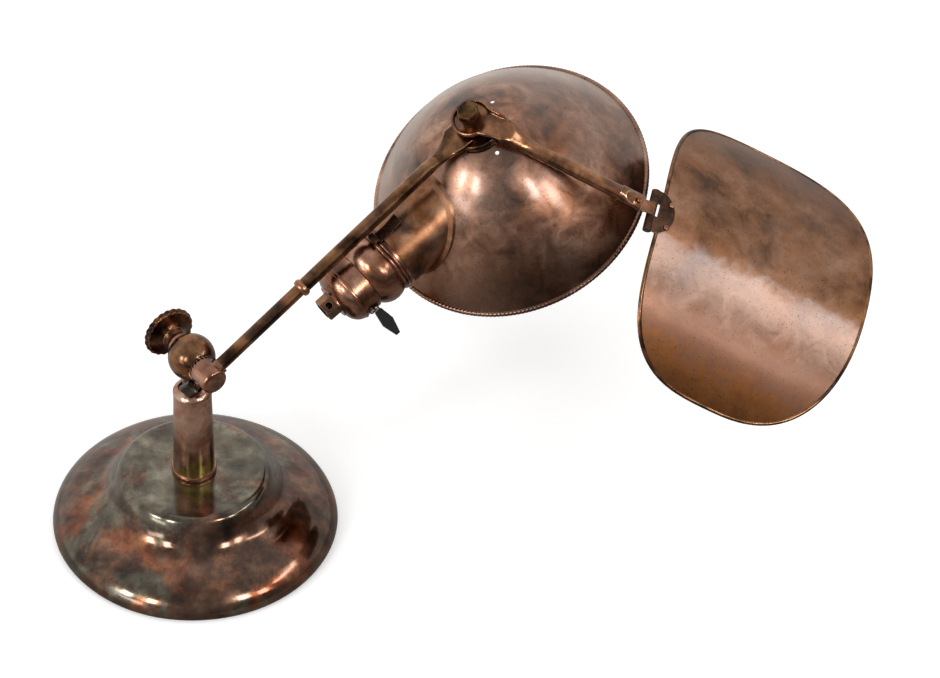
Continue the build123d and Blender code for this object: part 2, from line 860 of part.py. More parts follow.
with BuildPart() as shade_dome:
    with BuildSketch(section(shade)):
        with BuildLine():
            top_out, elbow_out, foot_out = dome_line(0)
            top_in, elbow_in, foot_in = dome_line(-shade_wall)
            crown_level = top_out[1]
            under_level = top_out[1] - shade_wall
            Line((pivot_bolt_radius + seat_clearance, crown_level), top_out)
            Bezier(top_out, elbow_out, foot_out)
            Line(foot_out, foot_in)
            Bezier(foot_in, elbow_in, (top_in[0], under_level))
            Polyline(
                (top_in[0], under_level),
                (pivot_bolt_radius + seat_clearance, under_level),
                (pivot_bolt_radius + seat_clearance, crown_level),
            )
        make_face()
    revolve(axis=axis_of(shade))
    with BuildSketch(moved(socket, z=shade_depth / 4)):
        Circle(collar_radius + seat_clearance)
    extrude(amount=shade_radius, mode=Mode.SUBTRACT)
    for index in range(vent_count):
        spot = moved(shade, turn_z=vent_start + index * 360 / vent_count)
        with BuildSketch(moved(spot, x=vent_circle, z=-shade_depth / 4)):
            Circle(vent_radius)
        extrude(amount=shade_depth / 2, mode=Mode.SUBTRACT)
shade_dome.part.label = "shade_dome"
export_step(shade_dome.part, "parts/shade_dome.step")

with BuildPart() as shade_rim:
    with BuildSketch(section(shade)):
        with Locations((shade_radius - rim_wire_radius, foot_in[1])):
            Circle(rim_wire_radius)
    revolve(axis=axis_of(shade))
    add(shade_dome.part, mode=Mode.SUBTRACT)
shade_rim.part.label = "shade_rim"
export_step(shade_rim.part, "parts/shade_rim.step")

disc_foot = crown_level + lock_washer_height
with BuildPart() as pivot_disc:
    with BuildSketch(moved(shade, z=disc_foot)):
        Circle(pivot_disc_radius)
        Circle(pivot_bolt_radius + seat_clearance, mode=Mode.SUBTRACT)
    extrude(amount=pivot_disc_rise - disc_foot)
    disc_edges = pivot_disc.edges().filter_by(GeomType.CIRCLE).sort_by(SortBy.RADIUS)[-2:]
    fillet(disc_edges.sort_by(axis_of(shade))[-1], radius=edge_round * 2)
pivot_disc.part.label = "pivot_disc"
export_step(pivot_disc.part, "parts/pivot_disc.step")

with BuildPart() as lock_washer:
    with BuildSketch(moved(shade, z=crown_level)):
        Circle(lock_washer_radius - lock_washer_tooth)
        for index in range(lock_washer_teeth):
            turn = index * 360 / lock_washer_teeth
            with Locations(Location((0, 0), turn)):
                with BuildLine(mode=Mode.PRIVATE) as tooth_line:
                    root = lock_washer_radius - lock_washer_tooth - overlap
                    half = lock_washer_tooth_half_width
                    Polyline((root, -half), (lock_washer_radius, 0), (root, half), close=True)
                add(make_face(tooth_line.edges(), mode=Mode.PRIVATE).rotate(Axis.Z, turn))
        Circle(pivot_bolt_radius + seat_clearance, mode=Mode.SUBTRACT)
    extrude(amount=lock_washer_height)
lock_washer.part.label = "lock_washer"
export_step(lock_washer.part, "parts/lock_washer.step")

lug_top = pivot_height + lug_thickness / 2
spacer_foot = lug_top + thrust_clearance
pivot_spacer = ring(shade, pivot_bolt_radius, pivot_spacer_radius, spacer_foot, pivot_spacer_height)
pivot_spacer.part.label = "pivot_spacer"
export_step(pivot_spacer.part, "parts/pivot_spacer.step")

cup_foot = spacer_foot + pivot_spacer_height + thrust_clearance
collar_seat = cup_foot + cup_floor + thrust_clearance
bolt_collar = ring(shade, pivot_bolt_radius, bolt_collar_radius, collar_seat, bolt_collar_height)
bolt_collar.part.label = "bolt_collar"
export_step(bolt_collar.part, "parts/bolt_collar.step")

plate_foot = under_level - backing_plate_height
backing_plate = ring(shade, pivot_bolt_radius, backing_plate_radius, plate_foot, backing_plate_height)
backing_plate.part.label = "backing_plate"
export_step(backing_plate.part, "parts/backing_plate.step")

nut_washer_foot = plate_foot - nut_washer_height
nut_washer = ring(shade, pivot_bolt_radius, nut_washer_radius, nut_washer_foot, nut_washer_height)
nut_washer.part.label = "nut_washer"
export_step(nut_washer.part, "parts/nut_washer.step")

nut_foot = nut_washer_foot - pivot_nut_height
pivot_nut = hex_nut(shade, pivot_nut_width, pivot_bolt_radius, nut_foot, pivot_nut_height)
pivot_nut.part.label = "pivot_nut"
export_step(pivot_nut.part, "parts/pivot_nut.step")

head_seat = collar_seat + bolt_collar_height
with BuildPart() as pivot_bolt:
    with BuildSketch(moved(shade, z=nut_foot - bolt_tail)):
        Circle(pivot_bolt_radius)
    extrude(amount=head_seat - nut_foot + bolt_tail)
    with BuildSketch(moved(shade, z=head_seat)):
        RegularPolygon(bolt_head_width / 2, 6, major_radius=False)
    extrude(amount=bolt_head_height)
    head_top = pivot_bolt.faces().sort_by(axis_of(shade))[-1]
    chamfer(head_top.edges(), length=bolt_head_chamfer, length2=bolt_head_chamfer / 2)
pivot_bolt.part.label = "pivot_bolt"
export_step(pivot_bolt.part, "parts/pivot_bolt.step")

# Collar: a tube through the shade's side with a flange that follows the dome
with BuildPart() as collar_tube:
    with BuildSketch(socket):
        Circle(collar_radius)
        Circle(collar_radius - collar_wall, mode=Mode.SUBTRACT)
    extrude(amount=collar_end)
    with BuildSketch(section(shade)):
        with BuildLine():
            inner_depth = -shade_depth - shade_radius
            start, control, finish = dome_line(-shade_wall - collar_reach_in)
            Polyline(finish, (finish[0], inner_depth), (0, inner_depth), (0, start[1]), start)
            Bezier(start, control, finish)
        make_face()
    revolve(axis=axis_of(shade), mode=Mode.SUBTRACT)
collar_tube.part.label = "collar_tube"
export_step(collar_tube.part, "parts/collar_tube.step")

with BuildPart() as collar_flange:
    with BuildSketch(section(shade)):
        with BuildLine():
            low_start, low_control, low_end = dome_line(seat_clearance)
            high_start, high_control, high_end = dome_line(flange_height)
            Bezier(low_start, low_control, low_end)
            Line(low_end, high_end)
            Bezier(high_end, high_control, high_start)
            Line(high_start, low_start)
        make_face()
    revolve(axis=axis_of(shade))
    with BuildSketch(moved(socket, z=collar_radius / 2)):
        Circle(collar_radius + flange_width)
        Circle(collar_radius, mode=Mode.SUBTRACT)
    extrude(amount=shade_radius, mode=Mode.INTERSECT)
collar_flange.part.label = "collar_flange"
export_step(collar_flange.part, "parts/collar_flange.step")


# Socket shell, cap and inner parts, all turned about the socket's axis
def shell_line(inset):
    """Section of the socket shell, moved inwards by an inset, from the neck to the cap."""
    neck = collar_radius - collar_wall - seat_clearance - inset
    bead = bead_radius - inset
    barrel = barrel_shell_radius - inset
    return neck, bead, barrel


with BuildPart() as socket_shell:
    with BuildSketch(section(socket)):
        with BuildLine():
            neck, bead, barrel = shell_line(0)
            neck_in, bead_in, barrel_in = shell_line(socket_wall)
            bead_middle = bead_start + bead_width
            bead_end = bead_start + 2 * bead_width
            half_bead = bead_width / 2
            groove_bottom = barrel - groove_depth
            Line((neck, neck_start), (neck, bead_start))
            ThreePointArc((neck, bead_start), (bead, bead_start + half_bead), (neck, bead_middle))
            ThreePointArc((neck, bead_middle), (bead, bead_middle + half_bead), (bulge_start_radius, bead_end))
            ThreePointArc(
                (bulge_start_radius, bead_end), (bulge_radius, bulge_middle), (groove_bottom, groove_place)
            )
            Polyline(
                (groove_bottom, groove_place),
                (groove_bottom, groove_place + groove_width),
                (barrel, groove_place + groove_width),
                (barrel, cap_start),
                (barrel_in, cap_start),
                (barrel_in, groove_place + groove_width + socket_wall),
                (groove_bottom - socket_wall, groove_place + groove_width + socket_wall),
                (groove_bottom - socket_wall, groove_place - socket_wall),
            )
            ThreePointArc(
                (groove_bottom - socket_wall, groove_place - socket_wall),
                (bulge_radius - socket_wall, bulge_middle),
                (neck_in, bead_end),
            )
            Polyline((neck_in, bead_end), (neck_in, neck_start), (neck, neck_start))
        make_face()
    revolve(axis=axis_of(socket))
    with BuildSketch(facing(socket, key_angle, key_place, side_hole_start)):
        Circle(key_shaft_radius + key_hole_clearance)
    extrude(amount=bulge_radius, mode=Mode.SUBTRACT)
    with BuildSketch(facing(socket, shell_screw_angle, shell_screw_place, side_hole_start)):
        Circle(shell_screw_radius)
    extrude(amount=bulge_radius, mode=Mode.SUBTRACT)
socket_shell.part.label = "socket_shell"
export_step(socket_shell.part, "parts/socket_shell.step")

with BuildPart() as socket_cap:
    with BuildSketch(section(socket)):
        with BuildLine():
            bead_top = cap_start + cap_bead_width
            dome_middle = (cap_dome_girth_radius, cap_dome_place)
            wall = socket_wall
            Line((barrel_shell_radius - wall, cap_start), (barrel_shell_radius, cap_start))
            ThreePointArc(
                (barrel_shell_radius, cap_start),
                (cap_bead_radius, cap_start + cap_bead_width / 2),
                (barrel_shell_radius, bead_top),
            )
            ThreePointArc((barrel_shell_radius, bead_top), dome_middle, (cap_end_radius, cap_end))
            Polyline(
                (cap_end_radius, cap_end),
                (cap_hole_radius, cap_end),
                (cap_hole_radius, cap_end - wall),
                (cap_end_radius, cap_end - wall),
            )
            ThreePointArc(
                (cap_end_radius, cap_end - wall),
                (dome_middle[0] - wall, dome_middle[1] - wall),
                (barrel_shell_radius - wall, bead_top),
            )
            Line((barrel_shell_radius - wall, bead_top), (barrel_shell_radius - wall, cap_start))
        make_face()
    revolve(axis=axis_of(socket))
socket_cap.part.label = "socket_cap"
export_step(socket_cap.part, "parts/socket_cap.step")

cap_disc = ring(socket, cord_hole_radius, cap_disc_radius, cap_end, cap_disc_height)
cap_disc.part.label = "cap_disc"
export_step(cap_disc.part, "parts/cap_disc.step")

boss_foot = cap_end + cap_disc_height
with BuildPart() as cap_boss:
    with BuildSketch(moved(socket, z=boss_foot, turn_z=camera_side_angle)):
        RegularPolygon(boss_width / 2, 6, major_radius=False, rotation=30)
    extrude(amount=boss_length)
    end_face = cap_boss.faces().sort_by(axis_of(socket))[-1]
    chamfer(end_face.edges(), length=edge_round)
    with BuildSketch(moved(socket, z=boss_foot)):
        Circle(cord_hole_radius)
    extrude(amount=boss_length, mode=Mode.SUBTRACT)
    with BuildSketch(facing(socket, camera_side_angle, boss_foot + boss_length / 2)):
        Circle(boss_side_hole_radius)
    extrude(amount=boss_width, mode=Mode.SUBTRACT)
cap_boss.part.label = "cap_boss"
export_step(cap_boss.part, "parts/cap_boss.step")

with BuildPart() as socket_screw:
    shell_screw_seat = barrel_shell_radius + seat_clearance
    with BuildSketch(facing(socket, shell_screw_angle, shell_screw_place, shell_screw_seat)):
        Circle(shell_screw_head_radius)
    extrude(amount=shell_screw_head_height)
    screw_top = socket_screw.faces().sort_by_distance(socket.origin)[-1]
    fillet(screw_top.edges(), radius=edge_round)
    slot_level = shell_screw_seat + shell_screw_head_height - edge_round
    with BuildSketch(facing(socket, shell_screw_angle, shell_screw_place, slot_level)):
        Rectangle(shell_screw_head_radius * 3, edge_round, rotation=shell_screw_slot_turn)
    extrude(amount=edge_round * 2, mode=Mode.SUBTRACT)
    shank_foot = shell_screw_seat - shell_screw_depth
    with BuildSketch(facing(socket, shell_screw_angle, shell_screw_place, shank_foot)):
        Circle(shell_screw_radius)
    extrude(amount=shell_screw_depth)
socket_screw.part.label = "socket_screw"
export_step(socket_screw.part, "parts/socket_screw.step")

liner_radius = barrel_shell_radius - groove_depth - socket_wall - seat_clearance
liner_inner = liner_radius - liner_thickness
liner_foot = cap_start - liner_length
with BuildPart() as insulating_liner:
    with BuildSketch(moved(socket, z=liner_foot)):
        Circle(liner_radius)
        Circle(liner_inner, mode=Mode.SUBTRACT)
    extrude(amount=liner_length)
    with BuildSketch(facing(socket, key_angle, key_place, liner_inner / 2)):
        Circle(key_shaft_radius + key_hole_clearance)
    extrude(amount=liner_radius, mode=Mode.SUBTRACT)
insulating_liner.part.label = "insulating_liner"
export_step(insulating_liner.part, "parts/insulating_liner.step")

insulator_end = insulator_start + insulator_length
screw_shell_end = screw_shell_start + screw_shell_length
screw_shell_bore = screw_shell_radius - screw_shell_wall
with BuildPart() as socket_insulator:
    with BuildSketch(moved(socket, z=insulator_start)):
        Circle(liner_inner)
    extrude(amount=insulator_length)
    with BuildSketch(facing(socket, key_angle, key_place, key_shaft_inner)):
        Circle(key_shaft_radius + running_clearance)
    extrude(amount=liner_radius, mode=Mode.SUBTRACT)
    for side in (-1, 1):
        with BuildSketch(moved(socket, y=side * terminal_screw_circle, z=insulator_start)):
            Circle(terminal_screw_radius / 2)
        extrude(amount=insulator_length, mode=Mode.SUBTRACT)
    with BuildSketch(moved(socket, z=insulator_start)):
        Circle(contact_radius / 2)
    extrude(amount=insulator_step, mode=Mode.SUBTRACT)
    with BuildSketch(moved(socket, z=screw_shell_end)):
        Circle(liner_inner)
        Circle(screw_shell_radius - shell_seat_width, mode=Mode.SUBTRACT)
    extrude(amount=insulator_start - screw_shell_end)
socket_insulator.part.label = "socket_insulator"
export_step(socket_insulator.part, "parts/socket_insulator.step")

screw_shell = ring(socket, screw_shell_bore, screw_shell_radius, screw_shell_start, screw_shell_length)
screw_shell.part.label = "screw_shell"
export_step(screw_shell.part, "parts/screw_shell.step")

with BuildPart() as centre_contact:
    with BuildSketch(moved(socket, z=insulator_start - contact_height)):
        Circle(contact_radius)
    extrude(amount=contact_height)
    with BuildSketch(moved(socket, z=insulator_start)):
        Circle(contact_radius / 2)
    extrude(amount=insulator_step)
centre_contact.part.label = "centre_contact"
export_step(centre_contact.part, "parts/centre_contact.step")

with BuildPart() as terminal_screws:
    for side in (-1, 1):
        with BuildSketch(moved(socket, y=side * terminal_screw_circle, z=insulator_start)):
            Circle(terminal_screw_radius / 2)
        extrude(amount=insulator_length)
        with BuildSketch(moved(socket, y=side * terminal_screw_circle, z=insulator_end)):
            Circle(terminal_screw_radius)
        extrude(amount=terminal_screw_height)
terminal_screws.part.label = "terminal_screws"
export_step(terminal_screws.part, "parts/terminal_screws.step")

with BuildPart() as switch_contact:
    with BuildSketch(moved(socket, x=switch_contact_place, z=insulator_end)):
        Rectangle(switch_contact_width, switch_contact_place)
    extrude(amount=switch_contact_height)
switch_contact.part.label = "switch_contact"
export_step(switch_contact.part, "parts/switch_contact.step")

# Switch: a shaft into the insulator with a flat tapered key outside the shell
key_frame = facing(socket, key_angle, key_place)
key_side = Plane(origin=key_frame.origin, x_dir=key_frame.z_dir, z_dir=key_frame.y_dir)
shaft_inner_end = key_shaft_inner + thrust_clearance
switch_shaft = disc(key_frame, key_shaft_radius, shaft_inner_end, key_shoulder - shaft_inner_end)
switch_shaft.part.label = "switch_shaft"
export_step(switch_shaft.part, "parts/switch_shaft.step")

with BuildPart() as switch_key:
    with BuildSketch(key_side):
        with BuildLine():
            Polyline(
                (key_shoulder, -key_root_width / 2),
                (key_middle_place, -key_middle_width / 2),
                (key_reach, -key_tip_width / 2),
                (key_reach, key_tip_width / 2),
                (key_middle_place, key_middle_width / 2),
                (key_shoulder, key_root_width / 2),
                close=True,
            )
        make_face()
    extrude(amount=key_thickness / 2, both=True)
    chamfer(switch_key.edges().filter_by(Axis((0, 0, 0), key_side.z_dir), reverse=True), length=edge_round)
switch_key.part.label = "switch_key"
export_step(switch_key.part, "parts/switch_key.step")

# Latch clip: a spring strip on the collar that curls over the socket's bead
clip_lying = collar_radius + clip_thickness / 2 + seat_clearance


def on_curl(angle):
    """Point of the clip's curled end at an angle round the curl's centre."""
    out = clip_lying + clip_curl_radius * (1 + cos(radians(angle)))
    return out, clip_curl_place + clip_curl_radius * sin(radians(angle))


with BuildPart() as latch_clip:
    with BuildSketch(section(moved(socket, turn_z=clip_angle))):
        with BuildLine():
            Polyline((clip_lying + clip_free_rise, clip_free_end), (clip_lying, clip_bend), on_curl(180))
            ThreePointArc(on_curl(180), on_curl(90), on_curl(0))
            ThreePointArc(on_curl(0), on_curl(clip_curl_end / 2), on_curl(clip_curl_end))
        trace(line_width=clip_thickness)
    extrude(amount=clip_width / 2, both=True)
latch_clip.part.label = "latch_clip"
export_step(latch_clip.part, "parts/latch_clip.step")

# Shield arm: a dished lug that runs out into a straight tube
with BuildPart() as shield_arm_tube:
    cup_middle = cup_foot + cup_height / 2
    with BuildSketch(moved(shield_arm, z=cup_foot)):
        Circle(cup_radius)
    extrude(amount=cup_height)
    with BuildSketch(across(moved(shield_arm, x=cup_radius, z=cup_middle))) as cup_end:
        RectangleRounded(2 * spoon_half_width, cup_height, cup_round)
    with BuildSketch(across(on_tube(shield_neck_reach))):
        Ellipse(shield_neck_half_width, shield_neck_half_height)
    with BuildSketch(across(on_tube(shield_tube_start))) as tube_end:
        Circle(shield_tube_radius)
    loft()
    extrude(cup_end.sketch, amount=-cup_radius)
    extrude(tube_end.sketch, amount=(shield_tube_end - shield_tube_start) / cos(radians(shield_tube_slope)))
    with BuildSketch(moved(shield_arm, z=cup_foot + cup_floor)):
        Circle(cup_radius - cup_wall)
    extrude(amount=cup_height, mode=Mode.SUBTRACT)
    spoon_middle = cup_foot + cup_floor + cup_height / 2
    with BuildSketch(across(moved(shield_arm, x=cup_radius / 2, z=spoon_middle))):
        Ellipse(spoon_half_width, cup_height / 2)
    with BuildSketch(across(moved(shield_arm, x=spoon_reach, z=spoon_end_level))):
        Ellipse(spoon_end_half_width, spoon_end_half_height)
    loft(mode=Mode.SUBTRACT)
    with BuildSketch(shield_arm):
        Circle(pivot_bolt_radius + running_clearance)
    extrude(amount=cup_foot + cup_height, mode=Mode.SUBTRACT)
    with BuildSketch(across(on_tube(shield_tube_bore_start))):
        Circle(shield_tube_radius - shield_tube_wall)
    extrude(amount=shield_tube_end, mode=Mode.SUBTRACT)
    with BuildSketch(moved(on_tube(sleeve_rivet_place), z=-shield_tube_radius * 2)):
        Circle(sleeve_rivet_radius)
    extrude(amount=shield_tube_radius * 4, mode=Mode.SUBTRACT)
shield_arm_tube.part.label = "shield_arm_tube"
export_step(shield_arm_tube.part, "parts/shield_arm_tube.step")

with BuildPart() as hinge_sleeve:
    with BuildSketch(across(on_tube(sleeve_start))):
        Circle(shield_tube_radius + sleeve_wall)
    with BuildSketch(across(on_tube(sleeve_end))):
        RectangleRounded(sleeve_flat_width, sleeve_flat_height, sleeve_flat_height / 3)
    loft()
    with BuildSketch(across(on_tube(sleeve_start))):
        Circle(shield_tube_radius)
    extrude(amount=(shield_tube_end - sleeve_start) / cos(radians(shield_tube_slope)), mode=Mode.SUBTRACT)
    strap_level = knuckle_radius - strap_thickness / 2
    with BuildSketch(moved(pin, z=strap_level - strap_thickness / 2)):
        with Locations((-strap_reach / 2, strap_centre)):
            Rectangle(strap_reach, strap_width)
    extrude(amount=strap_thickness)
    with BuildSketch(moved(pin_axis, z=strap_centre - strap_width / 2)):
        Circle(knuckle_radius)
    extrude(amount=strap_width)
    with BuildSketch(moved(pin_axis, z=-pin_length)):
        Circle(pin_radius + running_clearance)
    extrude(amount=2 * pin_length, mode=Mode.SUBTRACT)
    with BuildSketch(moved(on_tube(sleeve_rivet_place), z=-shield_tube_radius * 2)):
        Circle(sleeve_rivet_radius)
    extrude(amount=shield_tube_radius * 4, mode=Mode.SUBTRACT)
hinge_sleeve.part.label = "hinge_sleeve"
export_step(hinge_sleeve.part, "parts/hinge_sleeve.step")

with BuildPart() as sleeve_rivet:
    rivet_frame = on_tube(sleeve_rivet_place)
    rivet_seat = (sleeve_flat_height + shield_tube_radius) / 2
    with BuildSketch(moved(rivet_frame, z=-rivet_seat)):
        Circle(sleeve_rivet_radius)
    extrude(amount=2 * rivet_seat)
    for side in (-1, 1):
        with BuildSketch(moved(rivet_frame, z=side * rivet_seat)):
            Circle(sleeve_rivet_head)
        extrude(amount=side * rivet_head_height)
    head_faces = sleeve_rivet.faces().sort_by(axis_of(rivet_frame))
    for face in (head_faces[0], head_faces[-1]):
        fillet(face.edges(), radius=rivet_round)
sleeve_rivet.part.label = "sleeve_rivet"
export_step(sleeve_rivet.part, "parts/sleeve_rivet.step")

# Hinge pin, leaf and the bent shield
hinge_pin = disc(pin_axis, pin_radius, -pin_length / 2, pin_length)
hinge_pin.part.label = "hinge_pin"
export_step(hinge_pin.part, "parts/hinge_pin.step")

plate_top = knuckle_radius - leaf_thickness
bend_centre = moved(shield, y=plate_shift, z=plate_top - plate_bend_radius)
bend_axis = Plane(origin=bend_centre.origin, x_dir=bend_centre.z_dir, z_dir=bend_centre.x_dir)
plate_outer = plate_bend_radius
plate_inner = plate_bend_radius - plate_thickness


def plate_edge(angle):
    """Point on the shield's outline: distance out from its near edge and girth from its middle."""
    power = 2 / plate_squareness
    out_part = abs(cos(radians(angle))) ** power * (1 if cos(radians(angle)) > 0 else -1)
    side_part = abs(sin(radians(angle))) ** power * (1 if sin(radians(angle)) > 0 else -1)
    return plate_length / 2 * (1 + out_part), plate_girth / 2 * side_part


def bent(out, girth, radius):
    """Point in space for a place on the flat shield once it is bent to a radius."""
    turn = girth / plate_bend_radius
    across_part = radius * sin(turn)
    up_part = radius * cos(turn)
    origin = bend_centre.origin + bend_centre.x_dir * (plate_start + out)
    return origin + bend_centre.y_dir * across_part + bend_centre.z_dir * up_part


outline_angles = [(index + 0.5) * 360 / plate_points for index in range(plate_points)]
plate_sketch_plane = moved(bend_centre, x=plate_start)

with BuildPart() as shield_plate:
    with BuildSketch(plate_sketch_plane):
        with BuildLine():
            flat_points = []
            for angle in outline_angles:
                out, girth = plate_edge(angle)
                flat_points.append((out, plate_bend_radius * sin(girth / plate_bend_radius)))
            Spline(*flat_points, periodic=True)
        make_face()
    extrude(amount=plate_outer + overlap)
    with BuildSketch(bend_axis):
        Circle(plate_outer)
        Circle(plate_inner, mode=Mode.SUBTRACT)
    extrude(amount=plate_start + plate_length + overlap, mode=Mode.INTERSECT)
    for side in (-1, 1):
        with BuildSketch(moved(shield, x=leaf_rivet_place, y=side * leaf_rivet_spread, z=-leaf_length)):
            Circle(leaf_rivet_radius)
        extrude(amount=2 * leaf_length, mode=Mode.SUBTRACT)
shield_plate.part.label = "shield_plate"
export_step(shield_plate.part, "parts/shield_plate.step")

with BuildPart() as shield_bead:
    bead_level = plate_inner - plate_bead_radius - seat_clearance
    with BuildLine() as bead_path:
        Spline(*[bent(*plate_edge(angle), bead_level) for angle in outline_angles], periodic=True)
    whole_path = bead_path.line.edges()[0]
    for start, end in ((0, 0.5), (0.5, 1)):
        half_path = whole_path.trim(start, end)
        with BuildSketch(Plane(origin=half_path @ 0, z_dir=half_path % 0)):
            Circle(plate_bead_radius)
        sweep(path=half_path)
shield_bead.part.label = "shield_bead"
export_step(shield_bead.part, "parts/shield_bead.step")

with BuildPart() as hinge_leaf:
    half_leaf = pin_length / 2
    with BuildSketch(moved(shield, z=-knuckle_radius)):
        with BuildLine():
            Polyline((leaf_straight, half_leaf), (0, half_leaf), (0, -half_leaf), (leaf_straight, -half_leaf))
            ThreePointArc((leaf_straight, -half_leaf), (leaf_length, 0), (leaf_straight, half_leaf))
        make_face()
    extrude(amount=2 * knuckle_radius)
    with BuildSketch(bend_axis):
        Circle(plate_outer + leaf_thickness)
        Circle(plate_outer, mode=Mode.SUBTRACT)
    extrude(amount=leaf_length + overlap, mode=Mode.INTERSECT)
    with BuildSketch(moved(leaf_axis, z=-half_leaf)):
        Circle(knuckle_radius)
    extrude(amount=pin_length)
    with BuildSketch(moved(leaf_axis, z=-half_leaf)):
        Circle(pin_radius)
    extrude(amount=pin_length, mode=Mode.SUBTRACT)
    window_width = strap_width + 2 * knuckle_gap
    with BuildSketch(moved(shield, z=-2 * knuckle_radius)):
        with Locations((0, strap_centre)):
            Rectangle(2 * leaf_window, window_width)
    extrude(amount=4 * knuckle_radius, mode=Mode.SUBTRACT)
    for side in (-1, 1):
        with BuildSketch(moved(shield, x=leaf_rivet_place, y=side * leaf_rivet_spread, z=-leaf_length)):
            Circle(leaf_rivet_radius)
        extrude(amount=2 * leaf_length, mode=Mode.SUBTRACT)
hinge_leaf.part.label = "hinge_leaf"
export_step(hinge_leaf.part, "parts/hinge_leaf.step")

with BuildPart() as leaf_rivets:
    for side in (-1, 1):
        offset = side * leaf_rivet_spread - plate_shift
        sag = plate_outer - sqrt(plate_outer**2 - offset**2)
        head_tilt = leaf_rivet_head * abs(offset) / plate_outer
        spot = moved(shield, x=leaf_rivet_place, y=side * leaf_rivet_spread)
        leaf_top = knuckle_radius - sag + head_tilt
        under_plate = plate_top - plate_thickness - sag - head_tilt
        with BuildSketch(moved(spot, z=under_plate)):
            Circle(leaf_rivet_radius)
        extrude(amount=leaf_top - under_plate)
        with BuildSketch(moved(spot, z=leaf_top)):
            Circle(leaf_rivet_head)
        extrude(amount=rivet_head_height)
        with BuildSketch(moved(spot, z=under_plate)):
            Circle(leaf_rivet_head)
        extrude(amount=-rivet_head_height / 2)
    for face in leaf_rivets.faces().filter_by(GeomType.PLANE).sort_by(axis_of(shield))[-2:]:
        fillet(face.edges(), radius=rivet_round)
leaf_rivets.part.label = "leaf_rivets"
export_step(leaf_rivets.part, "parts/leaf_rivets.step")
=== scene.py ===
# %% [markdown]
# # An old desk lamp of spun brass, copper plated and worn
#
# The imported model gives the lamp's real sizes and its joints.  This script
# dresses it: it loads that model as a fixed frame, gives every piece the surface
# and the finish that the real one has, and lights it like the photograph.  The
# whole lamp could be modelled again in Blender, but then its joints might no
# longer fit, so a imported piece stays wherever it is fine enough.  All lengths
# are written in millimetres, as a maker would, and `MM` turns them to metres.

# %% Load the frame
import json
from math import cos, pi, radians, sin, tan

import bmesh
import bpy
import numpy as np
from mathutils import Matrix, Vector


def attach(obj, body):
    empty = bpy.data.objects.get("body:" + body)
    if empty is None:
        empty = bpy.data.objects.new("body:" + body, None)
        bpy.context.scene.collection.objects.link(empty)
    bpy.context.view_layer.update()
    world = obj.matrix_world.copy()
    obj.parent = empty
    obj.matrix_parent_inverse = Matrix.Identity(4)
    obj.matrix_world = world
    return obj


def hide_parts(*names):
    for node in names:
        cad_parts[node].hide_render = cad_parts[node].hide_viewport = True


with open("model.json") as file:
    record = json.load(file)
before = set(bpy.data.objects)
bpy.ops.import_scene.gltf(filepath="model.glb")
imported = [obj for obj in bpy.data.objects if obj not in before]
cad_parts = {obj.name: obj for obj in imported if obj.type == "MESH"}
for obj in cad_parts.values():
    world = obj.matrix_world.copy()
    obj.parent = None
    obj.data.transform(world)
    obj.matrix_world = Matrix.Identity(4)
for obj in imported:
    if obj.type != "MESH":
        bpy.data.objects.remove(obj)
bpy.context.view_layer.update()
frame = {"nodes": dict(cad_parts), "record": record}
MM = 0.001

# %% [markdown]
# ## Where things are
#
# Each part of the lamp is easiest to describe in its own frame: the column
# stands straight up, but the shade hangs on a tilted bolt and the socket lies
# across it.  Empties in the scene could hold these frames; a 4 by 4 matrix does
# the same without an object.  `moved` slides a frame along its own directions
# and then turns it, just as the model's own source does, so the two agree to
# the last digit.

# %% Frames
X, Y, Z = 0, 1, 2      # the columns of a frame that hold its own directions


def placed(origin, x_dir, z_dir):
    """Frame with its origin in mm, x and z along the two given directions, and y square to both."""
    z = Vector(z_dir).normalized()
    x = Vector(x_dir)
    x = (x - z * x.dot(z)).normalized()
    y = z.cross(x)
    return Matrix.Translation(Vector(origin)) @ Matrix((x, y, z)).transposed().to_4x4()


def moved(base_frame, x=0, y=0, z=0, turn_x=0, turn_y=0, turn_z=0):
    """Frame shifted in its own directions, then turned about x, z and y in that order."""
    turned = Matrix.Rotation(radians(turn_x), 4, "X") @ Matrix.Rotation(radians(turn_z), 4, "Z")
    return base_frame @ Matrix.Translation((x, y, z)) @ turned @ Matrix.Rotation(radians(turn_y), 4, "Y")


def direction(place, column):
    """One of a frame's own directions, by its column."""
    return place.to_3x3().col[column].copy()


# %% The lamp's own frames
WORLD = Matrix.Identity(4)
BALL_HEIGHT = 132.0
CLUTCH_AZIMUTH = -56.2
ARM_OFFSET = 18.4
ARM_ELEVATION = 30.2
ARM_LENGTH = 207.0
LUG_TWIST = 5.57
LUG_BEND = 6.85
CROWN_DEPTH = 3.2
SOCKET_TURN = 182.1
SOCKET_DROP = 38.5
SHIELD_ARM_ANGLE = 115.5
SHIELD_TUBE_SLOPE = 29.6
PIN_REACH = 98.7
PIN_DROP = 49.0
PIN_ROLL = -9.4
PIN_SKEW = 8.9
SHIELD_ANGLE = 14.1

